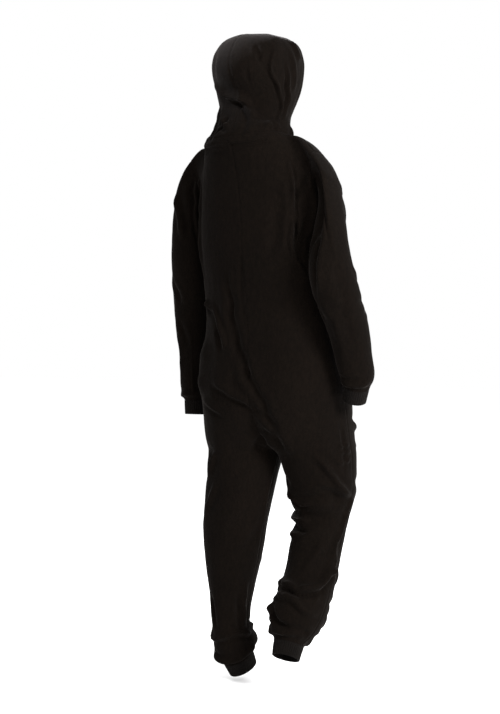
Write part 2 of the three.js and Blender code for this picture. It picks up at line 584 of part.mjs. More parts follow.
// How far a point on a skin's edge is drawn back from the seam, in the plane of the cloth
function seamPull(name, skin, i, j) {
  const { grid, closed } = skin;
  const lastRow = grid.length - 1;
  const lastColumn = grid[0].length - 1;
  const normal = skin.normals[i][j];
  const pull = new THREE.Vector3();
  const draw = (toward, amount) => {
    const way = new THREE.Vector3().subVectors(toward, grid[i][j]);
    way.addScaledVector(normal, -way.dot(normal)).normalize();
    pull.addScaledVector(way, amount);
  };
  const half = SEAM_GAP / 2;
  if (i === 0 && !skin.firstAxis) draw(grid[1][j], half);
  if (i === 0 && skin.firstAxis) pull.addScaledVector(skin.firstAxis, half);
  if (i === lastRow && !skin.lastAxis) draw(grid[i - 1][j], half);
  if (i === lastRow && skin.lastAxis) pull.addScaledVector(skin.lastAxis, half);
  if (!closed && j === 0) draw(grid[i][1], half);
  if (!closed && j === lastColumn) {
    const alongZip = name.startsWith("front") && i >= zipStart();
    const atCrotch = i === CROTCH_ROW && !name.startsWith("hood");
    let amount = half;
    if (atCrotch) amount = CROTCH_PULL;
    if (alongZip) amount = ZIP.gap / 2;
    draw(grid[i][j - 1], amount);
  }
  return pull;
}

// A skin with its thickness, cut square across the limb where it meets a cuff
function wallOf(name, skin) {
  const outer = skin.grid.map((row, i) =>
    row.map((point, j) => point.clone().add(seamPull(name, skin, i, j))),
  );
  const inner = outer.map((row, i) =>
    row.map((point, j) => {
      const normal = skin.normals[i][j].clone();
      let axis = null;
      if (i === 0) axis = skin.firstAxis;
      if (i === outer.length - 1) axis = skin.lastAxis;
      if (axis) normal.addScaledVector(axis, -normal.dot(axis)).normalize();
      return point.clone().addScaledVector(normal, -CLOTH);
    }),
  );
  return closedBody(outer, inner, skin.closed, skin.turn);
}

// A rib knit cuff below the section that it is sewn to. Its outside is ribbed and its inside plain.
function ribCuff(section, shape) {
  const down = sectionAxis(section).negate();
  const stations = [...Array(2 * shape.ribs).keys()];
  const rows = [SEAM_GAP / 2, shape.length / 2, shape.length];
  const ring = (distance, inset, raise) =>
    stations.map((j) => {
      const angle = (2 * Math.PI * j) / stations.length;
      const shrink = (shape.taper * distance) / shape.length + inset - (j % 2) * raise;
      const across = (section.halfWidth - shrink) * Math.cos(angle);
      const along = (section.halfDepth - shrink) * Math.sin(angle);
      return onSection(section, across, along).addScaledVector(down, distance);
    });
  const outer = rows.map((distance) => ring(distance, shape.ribHeight, shape.ribHeight));
  const inner = rows.map((distance) => ring(distance, CUFF_CLOTH, 0));
  return closedBody(outer, inner, true, 1);
}

for (const skin of Object.values(skins)) findTurn(skin);
sharedNormals();
pressFolds();
sharedNormals();

const onesie = new THREE.Group();
function add(name, geometry, color, roughness = 1, metalness = 0) {
  const mesh = new THREE.Mesh(geometry, new THREE.MeshStandardMaterial({ color, roughness, metalness }));
  mesh.name = name;
  onesie.add(mesh);
  return mesh;
}

for (const [name, skin] of Object.entries(skins)) add(name, wallOf(name, skin), FLEECE);
for (const sideName of Object.keys(SIDES)) {
  add(`wrist_cuff_${sideName}`, ribCuff(armSections[sideName].at(-1), cuffs.wrist), RIB);
  add(`ankle_cuff_${sideName}`, ribCuff(legSections[sideName].at(-1), cuffs.ankle), RIB);
}

// The centre front line over the zip. Each station has its row, its point, the way out and the way
// across to the garment's left.
const zipLine = [];
for (let i = zipStart(); i < skins.front_left.grid.length; i++) {
  const { grid, normals } = skins.front_left;
  const point = grid[i][COLUMNS].clone();
  if (i === grid.length - 1) {
    const down = new THREE.Vector3().subVectors(zipLine.at(-1).point, point).normalize();
    point.addScaledVector(down, ZIP.topTrim);
  }
  const out = normals[i][COLUMNS];
  const across = new THREE.Vector3().subVectors(grid[i][COLUMNS - 1], skins.front_right.grid[i][COLUMNS - 1]);
  across.addScaledVector(out, -across.dot(out)).normalize();
  zipLine.push({ i, point, out, across });
}

// A point of the tape's face under one panel, depth below the skin
function tapePoint({ i, point, out }, panelName, depth) {
  const next = skins[panelName].grid[i][COLUMNS - 1].clone();
  next.add(point).sub(skins[panelName].grid[i][COLUMNS]);
  const share = TAPE.halfWidth / next.distanceTo(point);
  const way = out.clone().lerp(skins[panelName].normals[i][COLUMNS - 1], share).normalize();
  return point.clone().lerp(next, share).addScaledVector(way, -depth);
}

const tapeLayer = (depth) =>
  zipLine.map((station) => [
    tapePoint(station, "front_left", depth),
    station.point.clone().addScaledVector(station.out, -depth),
    tapePoint(station, "front_right", depth),
  ]);
const tapeTop = CLOTH + TAPE.below;
add("zip_tape", closedBody(tapeLayer(tapeTop), tapeLayer(tapeTop + TAPE.cloth), false, 1), ZIP_BLACK);

const chainLayer = (height) =>
  zipLine.map(({ point, out, across }) =>
    [1, -1].map((way) =>
      point.clone().addScaledVector(out, height).addScaledVector(across, way * CHAIN.halfWidth),
    ),
  );
add("zip_chain", closedBody(chainLayer(CHAIN.proud), chainLayer(-CHAIN.sunk), false, 1), ZIP_BLACK, 0.6);

// Solids that are joined, for the slider
const wasm = await Module();
wasm.setup();
function solidOf(geometry) {
  const plain = new THREE.BufferGeometry().setAttribute("position", geometry.getAttribute("position"));
  plain.setIndex(geometry.index);
  const merged = mergeVertices(plain, 1e-4);
  const mesh = new wasm.Mesh({
    numProp: 3,
    vertProperties: merged.getAttribute("position").array,
    triVerts: new Uint32Array(merged.index.array),
  });
  return new wasm.Manifold(mesh);
}
function geometryOf(solid) {
  const mesh = solid.getMesh();
  const geometry = new THREE.BufferGeometry();
  geometry.setAttribute("position", new THREE.BufferAttribute(mesh.vertProperties, 3));
  geometry.setIndex(new THREE.BufferAttribute(mesh.triVerts, 1));
  return geometry;
}
function block(width, length, height, x, y, z) {
  return solidOf(new THREE.BoxGeometry(width, length, height).translate(x, y, z));
}

// The slider sits just under the neckline. In its own frame x is across, y up along the zip and z out.
const below = zipLine.at(-2);
const upWay = new THREE.Vector3().subVectors(zipLine.at(-1).point, below.point).normalize();
const outWay = below.out.clone().addScaledVector(upWay, -below.out.dot(upWay)).normalize();
const acrossWay = new THREE.Vector3().crossVectors(upWay, outWay);
const sliderFrame = new THREE.Matrix4().makeBasis(acrossWay, upWay, outWay);
sliderFrame.setPosition(below.point.clone().lerp(zipLine.at(-1).point, SLIDER.share));
const plateBottom = CHAIN.proud + SLIDER.clear;
const plateTop = plateBottom + SLIDER.plate;

const plateShape = new THREE.Shape();
plateShape.moveTo(-SLIDER.bottomWidth / 2, -SLIDER.length / 2);
plateShape.lineTo(SLIDER.bottomWidth / 2, -SLIDER.length / 2);
plateShape.lineTo(SLIDER.topWidth / 2, SLIDER.length / 4);
plateShape.lineTo(SLIDER.topWidth / 3, SLIDER.length / 2);
plateShape.lineTo(-SLIDER.topWidth / 3, SLIDER.length / 2);
plateShape.lineTo(-SLIDER.topWidth / 2, SLIDER.length / 4);
plateShape.closePath();
const plate = new THREE.ExtrudeGeometry(plateShape, { depth: SLIDER.plate, bevelEnabled: false });
const postHeight = BRIDGE.opening + BRIDGE.bar;
const postY = (BRIDGE.length - BRIDGE.bar) / 2;
const barZ = plateTop + BRIDGE.opening + BRIDGE.bar / 2;
const sliderSolid = solidOf(plate.translate(0, 0, plateBottom))
  .add(block(BRIDGE.width, BRIDGE.bar, postHeight + 0.4, 0, postY, plateTop + postHeight / 2 - 0.2))
  .add(block(BRIDGE.width, BRIDGE.bar, postHeight + 0.4, 0, -postY, plateTop + postHeight / 2 - 0.2))
  .add(block(BRIDGE.width, BRIDGE.length, BRIDGE.bar, 0, 0, barZ));
add("zip_slider", geometryOf(sliderSolid), ZIP_BLACK, 0.5, 0.6).applyMatrix4(sliderFrame);

// The pull tab hangs down over the zip. Its frame's origin is the line that it turns about.
const tabFrame = sliderFrame.clone();
const pivot = new THREE.Vector3(0, 0, plateTop + BRIDGE.opening / 2).applyMatrix4(sliderFrame);
tabFrame.setPosition(pivot);
const tabShape = new THREE.Shape();
const tabTop = TAB_HOLE.crossBar / 2;
const tabBottom = tabTop - TAB.length;
tabShape.moveTo(-TAB.width / 2, tabTop);
tabShape.lineTo(-TAB.width / 2, tabBottom + TAB.corner);
tabShape.quadraticCurveTo(-TAB.width / 2, tabBottom, -TAB.width / 2 + TAB.corner, tabBottom);
tabShape.lineTo(TAB.width / 2 - TAB.corner, tabBottom);
tabShape.quadraticCurveTo(TAB.width / 2, tabBottom, TAB.width / 2, tabBottom + TAB.corner);
tabShape.lineTo(TAB.width / 2, tabTop);
tabShape.closePath();
const hole = new THREE.Path();
hole.moveTo(-TAB_HOLE.width / 2, -TAB_HOLE.crossBar / 2);
hole.lineTo(TAB_HOLE.width / 2, -TAB_HOLE.crossBar / 2);
hole.lineTo(TAB_HOLE.width / 2, -TAB_HOLE.end);
hole.lineTo(-TAB_HOLE.width / 2, -TAB_HOLE.end);
hole.closePath();
tabShape.holes.push(hole);
const tabOptions = { depth: TAB.thickness, bevelEnabled: false, curveSegments: 4 };
const tab = new THREE.ExtrudeGeometry(tabShape, tabOptions);
add("zip_pull", tab.translate(0, 0, -TAB.thickness / 2), ZIP_BLACK, 0.5, 0.6).applyMatrix4(tabFrame);

export default onesie;
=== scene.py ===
import math

import bmesh
import bpy
import numpy as np
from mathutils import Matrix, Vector, bvhtree, kdtree, noise


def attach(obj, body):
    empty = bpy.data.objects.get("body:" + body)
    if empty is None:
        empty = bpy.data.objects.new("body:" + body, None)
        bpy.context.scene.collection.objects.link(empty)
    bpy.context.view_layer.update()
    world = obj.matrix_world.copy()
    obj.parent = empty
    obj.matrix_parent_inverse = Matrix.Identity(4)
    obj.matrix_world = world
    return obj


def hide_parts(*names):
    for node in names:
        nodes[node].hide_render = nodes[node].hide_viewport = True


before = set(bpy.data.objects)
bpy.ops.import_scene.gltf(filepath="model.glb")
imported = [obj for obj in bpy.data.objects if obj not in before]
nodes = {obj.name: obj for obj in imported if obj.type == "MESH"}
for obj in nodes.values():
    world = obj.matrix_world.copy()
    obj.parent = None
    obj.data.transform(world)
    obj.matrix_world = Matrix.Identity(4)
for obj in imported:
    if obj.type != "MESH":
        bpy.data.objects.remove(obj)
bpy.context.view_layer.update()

# The camera stands behind the garment, to the right of its centre back, at hip height.
CAMERA_AT = (-2.25, 3.897, -0.42)
CAMERA_AIM = (0.0, 0.0, -0.556)
FOCAL_SHARE = 2.4391  # focal length over the frame's height
SENSOR_HEIGHT = 36.0  # millimetres


def facing(place, aim):
    """The turn that points a camera or a lamp from its place at its aim."""
    return (Vector(aim) - Vector(place)).to_track_quat("-Z", "Y").to_euler()


bpy.ops.object.camera_add(location=CAMERA_AT)
camera = bpy.context.object
camera.name = "studio_camera"
camera.rotation_euler = facing(CAMERA_AT, CAMERA_AIM)
camera.data.sensor_fit = "VERTICAL"
camera.data.sensor_height = SENSOR_HEIGHT
camera.data.lens = SENSOR_HEIGHT * FOCAL_SHARE
bpy.context.scene.camera = camera

# The fleece body, sleeves and hood: brushed black fleece, about 2.5 mm thick, cut as two fronts, two
# backs, two sleeves and two hood halves and overlocked together. Each piece starts as the outer face
# of its own solid, and all are shaped as one surface so that their seams stay shut.
FLEECE_THICK = 0.0025
SMOOTH_LEVELS = 3
SAME_POINT = 0.00002  # a solid's corners nearer than this are one corner
SEAM_REACH = 0.002  # edges nearer than this are sewn
SIDES = ("left", "right")
COLUMNS = {"back": 11, "front": 11, "sleeve": None, "hood": 14}  # a sleeve is a closed ring
CUTS = {piece + "_" + side: columns for piece, columns in COLUMNS.items() for side in SIDES}


def outer_face(node, thick):
    """The outer skin of a wall's solid, as triangles without its rims and its inner skin."""
    skin = bmesh.new()
    skin.from_mesh(node.data)
    bmesh.ops.remove_doubles(skin, verts=skin.verts, dist=SAME_POINT)
    rims = [f for f in skin.faces if any(abs(e.calc_length() - thick) < SAME_POINT for e in f.edges)]
    bmesh.ops.delete(skin, geom=rims, context="FACES")
    loose = set(skin.faces)
    sheets = []
    while loose:
        sheet, edge = set(), [loose.pop()]
        while edge:
            face = edge.pop()
            sheet.add(face)
            for e in face.edges:
                for other in e.link_faces:
                    if other in loose:
                        loose.discard(other)
                        edge.append(other)
        sheets.append(sheet)
    sheets.sort(key=lambda s: -sum(f.calc_area() for f in s))
    bmesh.ops.delete(skin, geom=[f for s in sheets[1:] for f in s], context="FACES")
    return skin


def third(edge_faces, a, b):
    """The third corner of the face on edge a-b that hasn't been walked over yet."""
    faces = edge_faces[frozenset((a, b))]
    face = faces.pop()
    c = next(iter(face - {a, b}))
    for pair in ((a, b), (b, c), (a, c)):
        edge_faces[frozenset(pair)].discard(face)
    return c


def weave_rows(skin, columns=None):
    """A skin's corners as rows and columns, walked from one edge; with no columns it is a closed ring."""
    skin.verts.index_update()
    skin.verts.ensure_lookup_table()
    edge_faces, edge_of = {}, {}
    for f in skin.faces:
        face = frozenset(v.index for v in f.verts)
        for e in f.edges:
            edge_faces.setdefault(frozenset(v.index for v in e.verts), set()).add(face)
    for e in skin.edges:
        if len(e.link_faces) == 1:
            a, b = (v.index for v in e.verts)
            edge_of.setdefault(a, []).append(b)
            edge_of.setdefault(b, []).append(a)

    def walk(start, step, count):
        path = [start, step]
        while len(path) < count:
            path.append(next(v for v in edge_of[path[-1]] if v != path[-2]))
        return path

    place = lambda v: np.array(skin.verts[v].co)
    if columns is None:
        loops, left = [], set(edge_of)
        while left:
            start = next(iter(left))
            loop = [start, edge_of[start][0]]
            while True:
                onward = next(v for v in edge_of[loop[-1]] if v != loop[-2])
                if onward == start:
                    break
                loop.append(onward)
            loops.append(loop)
            left -= set(loop)
        loops.sort(key=lambda loop: -np.mean([place(v)[2] for v in loop]))
        first = loops[0]
        n = len(first)
        peek = []
        for k in range(n):
            face = next(iter(edge_faces[frozenset((first[k], first[(k + 1) % n]))]))
            peek.append(next(iter(face - {first[k], first[(k + 1) % n]})))
        near = sum(np.linalg.norm(place(peek[k]) - place(first[k])) for k in range(n))
        far = sum(np.linalg.norm(place(peek[k]) - place(first[(k + 1) % n])) for k in range(n))
        if near > far:
            first = first[::-1]
        rows = [first]
        ends = set(loops[-1])
        while not set(rows[-1]) & ends:
            row = rows[-1]
            above = [third(edge_faces, row[k], row[(k + 1) % n]) for k in range(n)]
            for k in range(n):
                third(edge_faces, row[k], above[k - 1])
            rows.append(above)
    else:
        corners = [v.index for v in skin.verts if len(v.link_edges) == 2]
        corner = corners[0]
        for step in edge_of[corner]:
            first = walk(corner, step, columns + 1)
            if len(skin.verts[first[-1]].link_edges) == 3:
                break
        rows = [first]
        total = len(skin.verts) // (columns + 1)
        while len(rows) < total:
            row = rows[-1]
            above = [third(edge_faces, row[k], row[k + 1]) for k in range(columns)]
            for k in range(1, columns):
                third(edge_faces, row[k], above[k - 1])
            above.append(third(edge_faces, row[columns], above[-1]))
            rows.append(above)
    return np.array([[place(v) for v in row] for row in rows])


# Rows run up from the hem, and columns from the side in to the centre, or on a hood from its face edge
# back. A sleeve's rows run down from its head, and its columns round from the underarm by the back.
CLEAR_ROW = 6  # rows from the neck seam, where one side edge lies plainly further out
grids = {}
for name, columns in CUTS.items():
    skin = outer_face(nodes[name], FLEECE_THICK)
    grid = weave_rows(skin, columns)
    skin.free()
    if name.startswith("sleeve"):
        grid = np.roll(grid, -int(np.argmin(grid[0][:, 2])), axis=1)
        if grid[0][3][1] < grid[0][-3][1]:
            grid = np.roll(grid[:, ::-1], 1, axis=1)
    else:
        if grid[0][:, 2].mean() > grid[-1][:, 2].mean():
            grid = grid[::-1]
        if name.startswith("hood"):
            outward = grid[CLEAR_ROW][0][1] < grid[CLEAR_ROW][-1][1]
        else:
            outward = abs(grid[-CLEAR_ROW][0][0]) > abs(grid[-CLEAR_ROW][-1][0])
        if not outward:
            grid = grid[:, ::-1]
    grids[name] = grid

# The hood's front corners are sewn to the fronts' top corners, on both sides of the zip.
for side in SIDES:
    grids["hood_" + side][0, 0] = grids["front_" + side][-1, -1]


def pick(piece):
    """Selects one object alone and makes it the active one."""
    bpy.ops.object.select_all(action="DESELECT")
    piece.select_set(True)
    bpy.context.view_layer.objects.active = piece


def apply_modifier(piece, kind, **settings):
    """Puts a modifier on the active piece with its settings, and applies it."""
    bpy.ops.object.modifier_add(type=kind)
    modifier = piece.modifiers[-1]
    for setting, value in settings.items():
        setattr(modifier, setting, value)
    bpy.ops.object.modifier_apply(modifier=modifier.name)


whole = bpy.data.meshes.new("fleece")
points, faces, cut_of = [], [], []
for number, (name, grid) in enumerate(grids.items()):
    rows, width = grid.shape[:2]
    start = len(points)
    points.extend(grid.reshape(-1, 3).tolist())
    ring = name.startswith("sleeve")
    for i in range(rows - 1):
        for j in range(width if ring else width - 1):
            k = (j + 1) % width
            faces.append([start + i * width + j, start + i * width + k,
                          start + (i + 1) * width + k, start + (i + 1) * width + j])
            cut_of.append(number)
whole.from_pydata(points, [], faces)
whole.attributes.new("cut", "INT", "FACE").data.foreach_set("value", cut_of)
fleece = bpy.data.objects.new("fleece", whole)
bpy.context.collection.objects.link(fleece)
pick(fleece)
bpy.ops.object.mode_set(mode="EDIT")
bpy.ops.mesh.select_all(action="SELECT")
bpy.ops.mesh.remove_doubles(threshold=SEAM_REACH)
bpy.ops.mesh.normals_make_consistent(inside=False)
bpy.ops.object.mode_set(mode="OBJECT")
apply_modifier(fleece, "SUBSURF", levels=SMOOTH_LEVELS, render_levels=SMOOTH_LEVELS)


def read_vectors(mesh, what):
    """The co or normal of every vertex of a mesh, as rows of three numbers."""
    flat = np.empty(len(mesh.vertices) * 3)
    mesh.vertices.foreach_get(what, flat)
    return flat.reshape(-1, 3)


def soft_step(value, low, high):
    """0 below low, 1 above high, and a smooth rise between them."""
    t = np.clip((value - low) / (high - low), 0, 1)
    return t * t * (3 - 2 * t)


def on_cut(name, across, up):
    """A place on a cut piece, by its shares across and up the piece's own rows."""
    grid = grids[name]
    rows, width = grid.shape[:2]
    row = min(up * (rows - 1), rows - 1.001)
    i = int(row)
    if name.startswith("sleeve"):
        column = (across % 1) * width
        j = int(column) % width
        k = (j + 1) % width
        t = column - int(column)
    else:
        column = min(across * (width - 1), width - 1.001)
        j = int(column)
        k = j + 1
        t = column - j
    low = grid[i][j] * (1 - t) + grid[i][k] * t
    high = grid[i + 1][j] * (1 - t) + grid[i + 1][k] * t
    return low + (high - low) * (row - i)


CURVE_STEPS = 12  # between two of a line's own points


def between(a, b, slope_a, slope_b, s):
    """A place at share s of the smooth curve from a to b that leaves and arrives at two slopes."""
    base = a * (1 + 2 * s) * (1 - s) ** 2 + b * s * s * (3 - 2 * s)
    return base + slope_a * s * (1 - s) ** 2 - slope_b * s * s * (1 - s)


def smooth_line(spots, spacing):
    """Evenly spaced places on a smooth curve through some points, and the way it runs at each."""
    spots = np.array(spots, float)
    before = np.vstack([2 * spots[0] - spots[1], spots[:-1]])
    after = np.vstack([spots[1:], 2 * spots[-1] - spots[-2]])
    slopes = (after - before) / 2
    dense = []
    for ends in zip(spots[:-1], spots[1:], slopes[:-1], slopes[1:]):
        dense += [between(*ends, s) for s in np.linspace(0, 1, CURVE_STEPS, endpoint=False)]
    dense = np.array(dense + [spots[-1]])
    reach = np.concatenate([[0], np.cumsum(np.linalg.norm(np.diff(dense[:, :3], axis=0), axis=1))])
    wanted = np.linspace(0, reach[-1], max(3, int(reach[-1] / spacing) + 1))
    places = np.stack([np.interp(wanted, reach, column) for column in dense.T], axis=1)
    ways = np.gradient(places[:, :3], axis=0)
    return places, ways / np.linalg.norm(ways, axis=1)[:, None]


